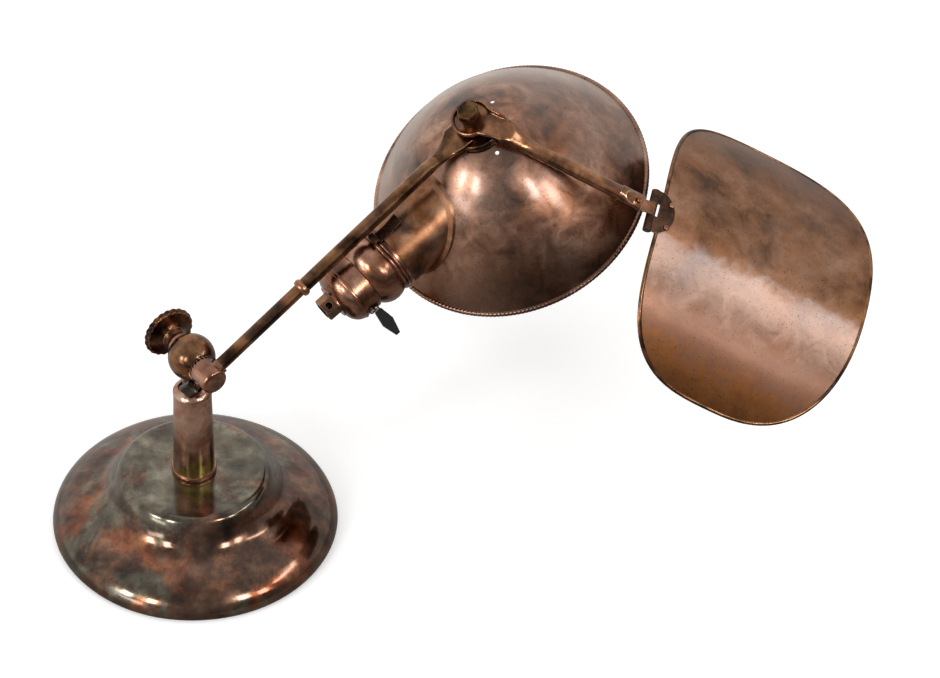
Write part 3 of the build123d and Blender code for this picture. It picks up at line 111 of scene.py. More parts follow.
clutch_out = Vector((cos(radians(CLUTCH_AZIMUTH)), sin(radians(CLUTCH_AZIMUTH)), 0))
arm_level = cos(radians(ARM_ELEVATION))
arm_out = Vector((-clutch_out.y * arm_level, clutch_out.x * arm_level, sin(radians(ARM_ELEVATION))))
ball = Vector((0, 0, BALL_HEIGHT))
clutch = placed(ball, (0, 0, 1), clutch_out)
knob = placed(ball, (0, 0, 1), -clutch_out)
arm = placed(ball + clutch_out * ARM_OFFSET, arm_out, clutch_out.cross(arm_out))
lug = moved(moved(arm, x=ARM_LENGTH, turn_x=LUG_TWIST), turn_y=LUG_BEND)
shade = moved(lug, z=-CROWN_DEPTH, turn_z=SOCKET_TURN)
socket = placed(moved(shade, z=-SOCKET_DROP).translation, direction(shade, Z), direction(shade, X))
shield_arm = moved(shade, turn_z=SHIELD_ARM_ANGLE)
tube_end = moved(shield_arm, x=PIN_REACH, z=-PIN_DROP, turn_y=SHIELD_TUBE_SLOPE)
pin = moved(tube_end, turn_x=PIN_ROLL, turn_z=PIN_SKEW)
shield = moved(pin, turn_y=SHIELD_ANGLE)
print("crown of the shade at", [round(value, 1) for value in shade.translation])

# %% [markdown]
# ## The camera
#
# The photograph was taken from far away with a long lens, from 43 degrees
# above the table.  A camera could be set by eye, but then no size read off the
# picture could be trusted.  So the focal length and the distance come from
# fitting the lamp's own circles (base, shade rim, ball) to the picture; the
# frame is also tipped by a little over half a degree.

# %% Camera
VIEW_ELEVATION = 43.347
VIEW_ROLL = 0.634
FOCAL_PIXELS = 8000
FRAME_WIDTH = 940
SENSOR = 36.0
DISTANCE = 4628.5
LOOK_RIGHT = 157.744
LOOK_UP = 107.887
CLIP_END = 50      # metres, well past the floor's far edge

rise = radians(VIEW_ELEVATION)
towards = Vector((0, -cos(rise), sin(rise)))
upwards = Vector((0, sin(rise), cos(rise)))
target = Vector((LOOK_RIGHT, 0, 0)) + upwards * LOOK_UP
camera_data = bpy.data.cameras.new("camera")
camera_data.sensor_width = SENSOR
camera_data.lens = FOCAL_PIXELS / FRAME_WIDTH * SENSOR
camera_data.clip_end = CLIP_END
camera = bpy.data.objects.new("camera", camera_data)
bpy.context.scene.collection.objects.link(camera)
looking = placed((target + towards * DISTANCE) * MM, (1, 0, 0), towards)
camera.matrix_world = looking @ Matrix.Rotation(radians(VIEW_ROLL), 4, "Z")
bpy.context.scene.camera = camera
bpy.context.scene.view_settings.view_transform = "Standard"
print("lens", round(camera_data.lens, 1), "mm")

# %% [markdown]
# ## Colours and nodes
#
# Every finish is a small graph of nodes.  Such graphs can be drawn by hand in
# the shader editor; written out, they can be read, compared and reused.  Three
# helpers carry them all.  `linear` turns a colour as a painter writes it (sRGB
# hex) into the linear light that Blender computes with.  `feed` gives an input
# its number, its colour or its link, and `add` makes one node and feeds it.

# %% Node helpers
def linear(code):
    """Linear colour of an sRGB hex code.

    Each channel c becomes ((c + 0.055) / 1.055) to the power 2.4, or c / 12.92 near black.
    """
    channels = [int(code[i:i + 2], 16) / 255 for i in (1, 3, 5)]
    curved = [c / 12.92 if c <= 0.04045 else ((c + 0.055) / 1.055) ** 2.4 for c in channels]
    return (*curved, 1.0)


def feed(tree, socket_in, value):
    """Give an input its value: a link from an output, a hex colour or a number."""
    if isinstance(value, bpy.types.NodeSocket):
        tree.links.new(value, socket_in)
    else:
        socket_in.default_value = linear(value) if isinstance(value, str) else value


def add(tree, kind, inputs, settings=None):
    """One node with its inputs fed, by name or number, once its settings are made."""
    made = tree.nodes.new(kind)
    for key, value in (settings or {}).items():
        setattr(made, key, value)
    for key, value in inputs.items():
        feed(tree, made.inputs[key], value)
    return made


def new_material(name):
    """Empty node material: itself, its tree, its shader and the piece's own coordinates."""
    made = bpy.data.materials.new(name)
    made.use_nodes = True
    tree = made.node_tree
    where = add(tree, "ShaderNodeTexCoord", {}).outputs["Object"]
    return made, tree, tree.nodes["Principled BSDF"], where


print("white is", linear("#FFFFFF"))

# %% [markdown]
# ## Sums of patterns
#
# A worn surface is never one picture.  It is clouds, smears and specks added
# up, cut off at a level and laid over each other.  An image texture could hold
# the result, but it would blur close up and show seams.  The small functions
# below do the adding and cutting with noise, which is sharp at any distance.

# %% Pattern helpers
NOISE_LOW, NOISE_HIGH = 0.3, 0.7                # the usual range of a noise value
FACTOR, BELOW, OVER, MIXED = 0, 6, 7, 2         # a Mix node's colour sockets, which share their names


def calculate(tree, how, first, second):
    """A Math node on two values."""
    return add(tree, "ShaderNodeMath", {0: first, 1: second}, {"operation": how}).outputs[0]


def weighted(tree, *parts):
    """Sum of values, each given as (value, weight)."""
    total = None
    for value, weight in parts:
        part = calculate(tree, "MULTIPLY", value, weight)
        total = part if total is None else calculate(tree, "ADD", total, part)
    return total


def dot(tree, first, second):
    """Dot product of two vectors."""
    settings = {"operation": "DOT_PRODUCT"}
    return add(tree, "ShaderNodeVectorMath", {0: first, 1: second}, settings).outputs["Value"]


def remap(tree, value, start, end, low=0.0, high=1.0, how="LINEAR"):
    """Value stretched so that start to end becomes low to high, and held past either end."""
    inputs = {"Value": value, "From Min": start, "From Max": end, "To Min": low, "To Max": high}
    return add(tree, "ShaderNodeMapRange", inputs, {"interpolation_type": how}).outputs[0]


def spread(tree, value, low, high):
    """Noise value stretched so that its usual range runs from one number to another."""
    return remap(tree, value, NOISE_LOW, NOISE_HIGH, low, high)


def ramp(tree, value, places, colours):
    """Colour ramp with a hex colour, or a number for a grey, at each place."""
    made = add(tree, "ShaderNodeValToRGB", {"Fac": value})
    while len(made.color_ramp.elements) < len(places):
        made.color_ramp.elements.new(0.5)
    for element, place, colour in zip(made.color_ramp.elements, places, colours):
        element.position = place
        element.color = linear(colour) if isinstance(colour, str) else (colour, colour, colour, 1)
    return made.outputs["Color"]


def above(tree, value, low, high, full=1.0):
    """Mask that rises from 0 to full between two levels of a value."""
    return ramp(tree, value, (low, high), (0.0, full))


def blend(tree, amount, below, over, how="MIX"):
    """Two colours mixed by an amount from 0 to 1."""
    settings = {"data_type": "RGBA", "blend_type": how, "clamp_factor": True}
    return add(tree, "ShaderNodeMix", {FACTOR: amount, BELOW: below, OVER: over}, settings).outputs[MIXED]


def tinted(tree, colour, mask, share, tint):
    """Colour with a tint laid over it, by a share, where a mask says."""
    return blend(tree, calculate(tree, "MULTIPLY", mask, share), colour, tint)


def noise(tree, where, size, detail=4.0, roughness=0.55, distortion=0.0):
    """Cloudy pattern whose clouds are about `size` millimetres across."""
    inputs = {"Vector": where, "Scale": 1 / (size * MM), "Detail": detail, "Roughness": roughness,
              "Distortion": distortion}
    return add(tree, "ShaderNodeTexNoise", inputs).outputs["Fac"]


print("noise runs from", NOISE_LOW, "to", NOISE_HIGH)

# %% [markdown]
# ## Places and edges
#
# Wear has a place: a sheet is rubbed along its bend, a rim on its corners.  Such
# places could be painted by hand as a map.  Here a zone is measured instead,
# along a direction of one of the lamp's frames, with a noise that lets its
# border wander.  Edges are found by comparing the surface with a copy of itself
# whose corners are rounded, which is what Blender's Bevel node gives.

# %% Place helpers
ROUNDING_SAMPLES = 6
ON_EDGE, OFF_EDGE = 0.86, 0.985      # cosines between the rounded and the real surface


def measured(tree, where, place, column):
    """Distance in metres from a frame's origin along one of its directions, all over the surface."""
    along = direction(place, column)
    return calculate(tree, "SUBTRACT", dot(tree, where, tuple(along)), along.dot(place.translation) * MM)


def zone(tree, distance, start, end, wander, amount):
    """Mask that rises from 0 to 1 between two distances in mm, with a noise moving its border."""
    shift = calculate(tree, "MULTIPLY", calculate(tree, "SUBTRACT", wander, 0.5), amount * MM)
    wandering = calculate(tree, "ADD", distance, shift)
    return remap(tree, wandering, start * MM, end * MM, how="SMOOTHSTEP")


def edges(tree, reach):
    """Mask of a piece's edges: where it and a copy of it rounded by some mm face different ways."""
    soft = add(tree, "ShaderNodeBevel", {"Radius": reach * MM}, {"samples": ROUNDING_SAMPLES}).outputs[0]
    sharp = add(tree, "ShaderNodeNewGeometry", {}).outputs["Normal"]
    return ramp(tree, dot(tree, soft, sharp), (ON_EDGE, OFF_EDGE), (1.0, 0.0))


def finish_metal(tree, shader, colour, rough, height, strength, depth):
    """Tie colour, roughness and relief to a metal's shader; the relief's depth is in mm."""
    bump = add(tree, "ShaderNodeBump", {"Height": height, "Strength": strength, "Distance": depth * MM})
    values = {"Base Color": colour, "Roughness": rough, "Normal": bump.outputs[0], "Metallic": 1.0}
    for name, value in values.items():
        feed(tree, shader.inputs[name], value)


def varnish(shader, share, rough):
    """What is left of a clear coat over a finish, and how rough it is."""
    shader.inputs["Coat Weight"].default_value = share
    shader.inputs["Coat Roughness"].default_value = rough


print("an edge turns by a cosine of", ON_EDGE, "or less")

# %% [markdown]
# ## Aged copper plate
#
# The lamp is spun and turned brass with a copper plating.  Decades of handling
# left clouds of brown oxide, pinkish copper where hands polish it, orange where
# the oxide is thin, and fine dark pits.  One noise would look like marble, so
# four scales of it are used: clouds of a few centimetres, smaller smears,
# millimetre mottling, and pits well under a millimetre.  The pits are drawn a
# little larger than real so that they show.

# %% Aged copper
CLOUD = 38.0
SMEAR = 13.0
MOTTLE = 2.4
PIT = 0.9
DENT = 9.0
TURNING_LINE = 0.7
CLOUD_SHARE = 0.66
TONE_PLACES = (0.37, 0.45, 0.53, 0.63)
GLOW, GLOW_SHARE = "#A5622F", 0.35
GLOW_SIZE, GLOW_EDGE = 0.8, (0.5, 0.68)         # size as a share of the clouds
HAZE = "#9B8A80"
HAZE_SIZE, HAZE_EDGE = 1.3, (0.46, 0.66)
MOTTLE_SHARE, MOTTLE_DARK = 0.7, 0.74
PIT_COLOUR, PIT_EDGE = "#1E1410", (0.66, 0.72)
WORN_REACH, WORN_SHARES = 0.5, (0.35, 0.95)
ZONE_WANDER = 30.0
VARNISH_ROUGHNESS = 0.14
RELIEF_DEPTH = 0.6
DENT_HEIGHT, MOTTLE_HEIGHT, LINE_HEIGHT = 0.25, 0.05, 0.16      # shares of the relief


def copper_patina(name, tones, rough, cloud=CLOUD, shift=0.0, haze_share=0.3, pits=0.5, rings=None,
                  zones=(), lacquer=0.0, wear=None, dents=0.25):
    """Aged copper plate: tones from dark to bright by cloud, under an orange glow and a grey haze.

    Rough is the range of roughness.  Shift moves the pattern by some mm.
    Rings is a frame whose z is the axis that the piece was turned on; it adds fine turning lines.
    Zones are (frame, column, start mm, end mm, colour, share): tints that grow along a direction.
    Lacquer is how much of an old clear varnish is left, and wear is the bright colour of rubbed edges.
    Dents is the strength of the slight waviness of thin sheet.
    """
    made, tree, shader, place = new_material(name)
    location = (shift * MM, shift * MM, 0)
    where = add(tree, "ShaderNodeMapping", {"Vector": place, "Location": location}).outputs[0]
    clouds = noise(tree, where, cloud, detail=5, roughness=0.55, distortion=0.3)
    smears = noise(tree, where, SMEAR, detail=4, roughness=0.6, distortion=0.8)
    mottle = noise(tree, where, MOTTLE, detail=5, roughness=0.7)
    mixed = weighted(tree, (clouds, CLOUD_SHARE), (smears, 1 - CLOUD_SHARE))
    colour = ramp(tree, mixed, TONE_PLACES, tones)
    glowing = above(tree, noise(tree, where, cloud * GLOW_SIZE, detail=3, distortion=0.4), *GLOW_EDGE)
    colour = tinted(tree, colour, glowing, GLOW_SHARE, GLOW)
    hazy = above(tree, noise(tree, where, cloud * HAZE_SIZE, detail=3, distortion=0.6), *HAZE_EDGE)
    colour = tinted(tree, colour, hazy, haze_share, HAZE)
    for zone_frame, column, start, end, tint, share in zones:
        inside = zone(tree, measured(tree, place, zone_frame, column), start, end, smears, ZONE_WANDER)
        colour = tinted(tree, colour, inside, share, tint)
    mottled = ramp(tree, mottle, (NOISE_LOW, NOISE_HIGH), (MOTTLE_DARK, 1.0))
    colour = blend(tree, MOTTLE_SHARE, colour, mottled, "MULTIPLY")
    pitted = above(tree, noise(tree, where, PIT, detail=2, roughness=0.4), *PIT_EDGE)
    colour = tinted(tree, colour, pitted, pits, PIT_COLOUR)
    if wear:
        colour = tinted(tree, colour, edges(tree, WORN_REACH), spread(tree, smears, *WORN_SHARES), wear)
    relief = [(noise(tree, where, DENT, detail=2), DENT_HEIGHT), (mottle, MOTTLE_HEIGHT)]
    if rings is not None:
        along = add(tree, "ShaderNodeCombineXYZ", {"Z": measured(tree, place, rings, Z)}).outputs[0]
        relief.append((noise(tree, along, TURNING_LINE, detail=3), LINE_HEIGHT))
    gloss = spread(tree, smears, *rough)
    finish_metal(tree, shader, colour, gloss, weighted(tree, *relief), dents, RELIEF_DEPTH)
    varnish(shader, lacquer, VARNISH_ROUGHNESS)
    return made


print("copper clouds of", CLOUD, "mm, smears of", SMEAR, "mm")

# %% [markdown]
# ## The copper of the shade and the shield
#
# The two large sheets were spun and bent from flat metal, and their colour
# changes across them.  The dome is paler on the side of the socket, a painted
# light for the lit room it mirrors there, and nearly black brown at the lower
# front, a painted shade for the dark it mirrors there.  The shield has a
# painted highlight, a pale stripe along its bend; the brown below it is partly
# patina and partly painted shade that dulls what the sheet mirrors; its lower
# edge is orange copper.  Each of these is a zone along a frame, so it stays in
# place when a joint moves.

# %% Copper sheets
SPUN_TONES = ["#362117", "#704A37", "#9E6F56", "#CDA389"]
SHIELD_TONES = ["#5A3D2B", "#80593F", "#976C50", "#AD8268"]
MIDDLE_DROP = 45      # from the crown to the middle of the dome
# The first direction leads to the dome's painted shade at its lower front, the second to its painted light at
# its left side.
PAINTED_SHADE_WAY, PAINTED_LIGHT_WAY = (0.35, -0.75, -0.55), (-0.6, -0.75, -0.25)
dome_middle = moved(shade, z=-MIDDLE_DROP).translation
dome_painted_shade = placed(dome_middle, (0, 0, 1), PAINTED_SHADE_WAY)
dome_painted_light = placed(dome_middle, (0, 0, 1), PAINTED_LIGHT_WAY)

spun_dome = copper_patina(
    "spun_copper_dome", SPUN_TONES, rough=(0.24, 0.36), shift=12, lacquer=0.6, pits=0.75,
    zones=[(shield_arm, Y, 10, 60, "#8C6E5C", 0.4),
           # painted light: a paler tint where the dome's left side mirrors the lit room
           (dome_painted_light, Z, 25, 65, "#BC8A6E", 0.3),
           # painted shade: a dark brown tint where the lower front mirrors dark
           (dome_painted_shade, Z, 45, 80, "#3A271D", 0.55)])
spun_shield = copper_patina(
    "spun_copper_shield", SHIELD_TONES, rough=(0.29, 0.4), shift=70, lacquer=0.12, pits=0.85, haze_share=0.15,
    zones=[(shield, Y, 40, 85, "#6A4C3A", 0.5),
           # painted highlight: a pale stripe along the bend, where the sheet mirrors the side lamp
           (shield, Y, -4, -16, "#CDBBB4", 0.35),
           # brown that is partly patina and partly painted shade, dulling what the lower sheet mirrors
           (shield, Y, -14, -50, "#5E3820", 0.85),
           (shield, Y, -58, -72, "#A0622E", 0.6)])
print("sheets:", spun_dome.name, spun_shield.name)

# %% [markdown]
# ## The copper of the turned pieces
#
# Column, knuckle, arms and socket were turned on a lathe or drawn as tube.  They
# are smaller, so their clouds are too, and hands kept most of them brighter
# than the sheets.  The knob and the bolt head stayed almost black.  Where an
# edge is handled the bare metal shows, which one bright colour on the edges
# gives.  The same function makes them all, so they look like one lamp.

# %% Turned copper
SATIN_TONES = ["#3E2A1E", "#755038", "#9A6D50", "#BC9070"]
TURNED_TONES = ["#4E3024", "#835643", "#AC7A61", "#CFA088"]
COLUMN_TONES = ["#6E4638", "#A2735E", "#C89C86", "#E0BBA6"]
ARM_TONES = ["#352014", "#6A4126", "#94603A", "#B88460"]
DARK_TONES = ["#2B1C12", "#553822", "#80583A", "#A87C56"]
KNOB_TONES = ["#1E130D", "#3E271B", "#63422F", "#8A624A"]
BOLT_TONES = ["#241A12", "#3E2E1E", "#5A432B", "#7A6044"]
BARE_EDGE = "#D9A986"
LIT_POINT, LIT_WAY = (6, -8, 62), (0.55, -0.5, -0.9)      # where brass shows, low on the column
column_foot = placed(LIT_POINT, (0, 0, 1), LIT_WAY)

satin_copper = copper_patina(
    "satin_copper_collar", SATIN_TONES, rough=(0.3, 0.42), cloud=22.0, rings=socket)
turned_copper = copper_patina(
    "turned_copper", TURNED_TONES, rough=(0.2, 0.3), cloud=20.0, haze_share=0.15, rings=socket, lacquer=0.2)
column_copper = copper_patina(
    "column_copper", COLUMN_TONES, rough=(0.17, 0.27), cloud=18.0, rings=WORLD,
    zones=[(column_foot, Z, 0, 5, "#BBA868", 0.95)])
arm_copper = copper_patina(
    "lacquered_copper_arm", ARM_TONES, rough=(0.2, 0.32), cloud=18.0, shift=55, haze_share=0.05,
    lacquer=0.7, wear=BARE_EDGE, dents=0.1)
dark_copper = copper_patina(
    "dark_copper_patina", DARK_TONES, rough=(0.16, 0.28), cloud=16.0, shift=40, haze_share=0.08,
    lacquer=0.2, wear=BARE_EDGE)
knob_copper = copper_patina(
    "dark_knob_patina", KNOB_TONES, rough=(0.18, 0.3), cloud=9.0, shift=20, haze_share=0.05, wear=BARE_EDGE)
bolt_copper = copper_patina(
    "browned_bolt_head", BOLT_TONES, rough=(0.3, 0.42), cloud=7.0, shift=90, haze_share=0.05, wear="#C08C6A")
print("rubbed edges are", BARE_EDGE, "- the last finish is", bolt_copper.name)

# %% [markdown]
# ## The base's worn plating
#
# On the base the copper was laid over nickel and has rubbed through.  Most of
# it is chocolate brown, grey green nickel shows in patches, and rust coloured
# copper breaks out in specks.  Three painted masks could say where.  A fine
# noise added to a broad one before a steep ramp gives it without painting:
# clean patches with speckled edges.  An old coat of wax over it all keeps the
# small lights white.

# %% Base finish
PATCH = 40.0
RUST_PATCH = 32.0
SPECK = 1.2
SHADOW_PATCH = 23.0
ELSEWHERE = (0.3, 0.1, 0)                       # metres, so that the rust has a pattern of its own
LOW_FRONT, LOW_FRONT_WANDER = (10, -70), 40.0   # along y, in mm
FLAT_TOP, FLAT_TOP_WANDER = (36, 43), 6.0       # along z, in mm
NICKEL_TONES = ["#433B31", "#686050", "#8E8777"]
BROWN_TONES = ["#33221A", "#5E4232", "#86644E"]
RUST_TONES = ["#5A2E1A", "#8A4E30", "#B0734E"]
BARE_EDGES, RUST_EDGES, RUST_COVER = (0.45, 0.5), (0.55, 0.6), 0.85
SHADOW_EDGES, SHADOW_DARK = (0.32, 0.52), 0.4
SPECK_EDGES, SPECK_SHARE, SPECK_COLOUR = (0.63, 0.7), 0.6, "#1D1713"
BASE_ROUGHNESS = (0.12, 0.22)
BASE_RELIEF = (0.2, 0.5)                        # strength, and depth in mm
WAX, WAX_ROUGHNESS = 0.6, 0.07


def worn_plating(name):
    """Brown plating with patches of nickel and of rust copper, whose borders a fine noise speckles."""
    made, tree, shader, where = new_material(name)
    broad = noise(tree, where, PATCH, detail=4, roughness=0.62, distortion=0.5)
    fine = noise(tree, where, SPECK, detail=4, roughness=0.75)
    smears = noise(tree, where, SMEAR, detail=4, roughness=0.6)
    speckle = calculate(tree, "SUBTRACT", fine, 0.5)
    low_front = zone(tree, measured(tree, where, WORLD, Y), *LOW_FRONT, smears, LOW_FRONT_WANDER)
    flat_top = zone(tree, measured(tree, where, WORLD, Z), *FLAT_TOP, smears, FLAT_TOP_WANDER)
    worn = weighted(tree, (broad, 1.0), (speckle, 0.3), (low_front, 0.03), (flat_top, -0.07))
    bare = ramp(tree, worn, BARE_EDGES, (1.0, 0.0))
    elsewhere = add(tree, "ShaderNodeMapping", {"Vector": where, "Location": ELSEWHERE}).outputs[0]
    spots = noise(tree, elsewhere, RUST_PATCH, detail=3, roughness=0.5, distortion=0.4)
    rusted = weighted(tree, (spots, 1.0), (speckle, 0.5), (flat_top, -0.14))
    rusty = above(tree, rusted, *RUST_EDGES, RUST_COVER)
    nickel_grey = ramp(tree, smears, (0.3, 0.52, 0.72), NICKEL_TONES)
    brown = ramp(tree, smears, (0.3, 0.5, 0.7), BROWN_TONES)
    rust = ramp(tree, smears, (0.3, 0.5, 0.7), RUST_TONES)
    colour = blend(tree, rusty, blend(tree, bare, brown, nickel_grey), rust)
    shadows = noise(tree, where, SHADOW_PATCH, detail=5, roughness=0.65, distortion=0.6)
    colour = blend(tree, 1.0, colour, ramp(tree, shadows, SHADOW_EDGES, (SHADOW_DARK, 1.0)), "MULTIPLY")
    colour = tinted(tree, colour, above(tree, fine, *SPECK_EDGES), SPECK_SHARE, SPECK_COLOUR)
    relief = weighted(tree, (fine, 0.05), (smears, 0.16))
    finish_metal(tree, shader, colour, spread(tree, smears, *BASE_ROUGHNESS), relief, *BASE_RELIEF)
    varnish(shader, WAX, WAX_ROUGHNESS)
    return made


base_plating = worn_plating("worn_copper_over_nickel")
print("base finish:", base_plating.name)

# %% [markdown]
# ## The small materials
#
# The hinge and the latch are brown steel, some nuts are bare brass, the key is
# moulded phenolic, and inside the socket there are fibre board, porcelain and
# nickel plate.  They are small in the picture, so two functions are enough: one
# for a metal whose colour drifts between two tones, and one for what isn't a
# metal and has a grain instead.

# %% Plain metals and soft materials
TWO_TONES = (0.35, 0.65)
RUBBED_REACH, RUBBED_SHARE = 0.4, 0.8
METAL_RELIEF = (0.15, 0.3)      # strength, and depth in mm
SOFT_STRENGTH = 0.4


def plain_metal(name, dark, bright, size, rough, wear=None):
    """One metal that drifts between two tones, with a fine grain in its gloss and perhaps rubbed edges."""
    made, tree, shader, where = new_material(name)
    drift = noise(tree, where, size, detail=5, roughness=0.65, distortion=0.5)
    fine = noise(tree, where, PIT, detail=3)
    colour = ramp(tree, drift, TWO_TONES, (dark, bright))
    if wear:
        colour = tinted(tree, colour, edges(tree, RUBBED_REACH), RUBBED_SHARE, wear)
    finish_metal(tree, shader, colour, spread(tree, fine, *rough), fine, *METAL_RELIEF)
    return made


def soft_material(name, dark, bright, size, rough, relief):
    """Felt, board, porcelain or moulded plastic: not a metal, with a fine surface of its own."""
    made, tree, shader, where = new_material(name)
    grain = noise(tree, where, size, detail=4, roughness=0.7)
    bump = add(tree, "ShaderNodeBump", {"Height": grain, "Strength": SOFT_STRENGTH, "Distance": relief * MM})
    feed(tree, shader.inputs["Base Color"], ramp(tree, grain, TWO_TONES, (dark, bright)))
    feed(tree, shader.inputs["Normal"], bump.outputs[0])
    feed(tree, shader.inputs["Roughness"], rough)
    return made


dark_steel = plain_metal("darkened_steel", "#35302A", "#6E665B", size=6.0, rough=(0.22, 0.36), wear="#A89A88")
hinge_steel = plain_metal("browned_steel", "#2E2420", "#5A3F31", size=5.0, rough=(0.25, 0.4), wear="#C08A62")
bare_brass = plain_metal("bare_brass", "#7A6234", "#B89A5C", size=9.0, rough=(0.22, 0.36))
nickel = plain_metal("nickel_plate", "#7C7870", "#A8A49A", size=8.0, rough=(0.15, 0.25))
iron = plain_metal("cast_iron", "#2B2A29", "#454341", size=3.0, rough=(0.5, 0.7))
felt = soft_material("pressed_wool_felt", "#16261B", "#24382A", size=0.6, rough=0.95, relief=0.3)
key_plastic = soft_material("moulded_phenolic", "#070707", "#101010", size=1.5, rough=0.16, relief=0.03)
board = soft_material("fibre_board", "#4A3A26", "#6B5638", size=0.8, rough=0.8, relief=0.1)
porcelain = soft_material("glazed_porcelain", "#D8D4C8", "#E6E3DA", size=2.0, rough=0.12, relief=0.02)
print("small materials, from", dark_steel.name, "to", porcelain.name)

# %% [markdown]
# ## Who wears what
#
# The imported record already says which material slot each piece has, so most
# pieces take the finish of their slot.  Some look different from the others of
# their slot, because they are spun, bent or handled more, and a second list
# names those.  Choosing by hand for each piece would be longer and easier to
# get wrong.

# %% Finishes on the pieces
FINISHES = {
    "aged_base_plate": base_plating, "aged_copper": turned_copper, "dark_copper": dark_copper,
    "darkened_steel": dark_steel, "bare_brass": bare_brass, "nickel": nickel, "cast_iron": iron,
    "felt": felt, "black_plastic": key_plastic, "liner_board": board, "porcelain": porcelain,
}
OWN_FINISH = {
    "shade_dome": spun_dome, "shade_rim": spun_dome, "shield_plate": spun_shield, "shield_bead": spun_shield,
    "column_tube": column_copper, "column_foot_ring": turned_copper, "column_cap": column_copper,
    "cap_boss": dark_copper, "cap_disc": turned_copper, "pivot_spacer": dark_copper,
    "pivot_disc": dark_copper, "knob_washer": turned_copper, "collar_tube": satin_copper,
    "collar_flange": satin_copper, "pivot_bolt": bolt_copper, "bolt_collar": bolt_copper,
    "arm_lower_rod": dark_copper, "arm_upper_tube": dark_copper, "arm_ring": arm_copper,
    "shield_arm_tube": arm_copper, "hinge_leaf": hinge_steel, "hinge_sleeve": arm_copper,
    "latch_clip": hinge_steel, "knuckle_ball": dark_copper,
}
slot_of = {entry["node"]: entry["material_slot"] for entry in frame["record"]["subparts"]}
for name, piece in frame["nodes"].items():
    piece.material_slots[0].material = OWN_FINISH.get(name, FINISHES[slot_of[name]])
print("pieces with a finish:", len(slot_of))

# %% [markdown]
# ## Surfaces from arrays
#
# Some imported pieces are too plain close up.  They could be sculpted, but a
# turned or bent piece is really a function of two numbers, such as the angle
# round its axis and the distance along its outline.  Numpy works the whole grid
# of points out at once; `dress` then joins neighbours into quads, closes seams
# and poles, and puts the piece on the body that carries it.

# %% Surface helpers
WELD = 0.001      # points nearer than this many mm are one


def dress(name, points, material, body, nodes, wrap_rows=True):
    """Piece through a grid of points (rows, columns, 3) in mm, in place of the nodes named.

    Each row is a closed line.  The rows close to a ring too, unless wrap_rows is off.
    """
    rows, columns = points.shape[:2]
    index = np.arange(rows * columns).reshape(rows, columns)
    if wrap_rows:
        index = np.vstack([index, index[:1]])
    index = np.hstack([index, index[:, :1]])
    corners = [index[:-1, :-1], index[:-1, 1:], index[1:, 1:], index[1:, :-1]]
    quads = np.stack(corners, axis=-1).reshape(-1, 4)
    mesh = bpy.data.meshes.new(name)
    mesh.from_pydata((points.reshape(-1, 3) * MM).tolist(), [], quads.tolist())
    work = bmesh.new()
    work.from_mesh(mesh)
    bmesh.ops.remove_doubles(work, verts=work.verts, dist=WELD * MM)
    bmesh.ops.recalc_face_normals(work, faces=work.faces)
    work.to_mesh(mesh)
    work.free()
    mesh.polygons.foreach_set("use_smooth", np.ones(len(mesh.polygons), dtype=bool))
    mesh.materials.append(material)
    piece = bpy.data.objects.new(name, mesh)
    bpy.context.scene.collection.objects.link(piece)
    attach(piece, body)
    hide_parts(*nodes)
    print(name, "faces:", len(mesh.polygons))


def carried(place, x, y, z):
    """Points (x, y, z), each an array in a frame's own mm, as one array of points in the lamp's frame."""
    local = np.stack(np.broadcast_arrays(x, y, z), axis=-1)
    turn = np.array(place.to_3x3())
    return local @ turn.T + np.array(place.translation)


def full_turn(count):
    """Angles of a whole turn, as one row."""
    return np.linspace(0, 2 * pi, count, endpoint=False)[None, :]


def revolved(place, line, angles, bulge):
    """Line of (radius, height) turned about a frame's z, with a bulge over the grid added to the radius."""
    radius = line[:, :1] + bulge
    return carried(place, radius * np.cos(angles), radius * np.sin(angles), line[:, 1:])


print("points nearer than", WELD, "mm are joined")

# %% [markdown]
# ## The base
#
# The base is one sheet of brass spun over a form: a flat top, a tight shoulder,
# a hollow cove and a broad flange that turns under at the rim.  A Screw modifier
# on a curve would turn the outline too, but not the slight waviness that the
# spinner's hand left.  The outline is a flowing line through a few stations,
# each with its slope; a second line a wall's thickness inside it closes the
# sheet.  Two sine waves over the angle bend the flange.

# %% Base
BASE_WALL = 1.6
BASE_HEIGHT = 44
BASE_STATIONS = [      # radius, height, slope down in degrees
    (4.9, BASE_HEIGHT, 0), (39.0, BASE_HEIGHT, 0), (43.4, 41.6, 55), (46.6, 35.2, 66), (50.5, 28.8, 50),
    (57, 23.8, 22), (66, 20.6, 22), (74.5, 15.9, 40), (80.6, 9.2, 62), (82.3, 4.2, 90), (80.2, 1.0, 176),
    (77.0, 1.0, 180)]
STATION_STEPS = 16
BASE_STEPS = 360
BASE_WAVES = [(0.12, 3, 0.7), (0.08, 7, 2.1)]      # height in mm, waves in a turn, phase
FLANGE_START = 60


def flowing(stations, steps):
    """Smooth line through stations (radius, height, slope): a cubic between each two, with their slopes."""
    share = np.linspace(0, 1, steps, endpoint=False)[:, None]
    pieces = []
    for (r0, z0, s0), (r1, z1, s1) in zip(stations[:-1], stations[1:]):
        start, end = np.array([r0, z0]), np.array([r1, z1])
        reach = np.hypot(*(end - start))
        leave = reach * np.array([cos(radians(s0)), -sin(radians(s0))])
        arrive = reach * np.array([cos(radians(s1)), -sin(radians(s1))])
        a, b = 2 * share**3 - 3 * share**2 + 1, share**3 - 2 * share**2 + share
        c, d = 3 * share**2 - 2 * share**3, share**3 - share**2
        pieces.append(a * start + b * leave + c * end + d * arrive)
    return np.vstack(pieces + [np.array([stations[-1][:2]], dtype=float)])


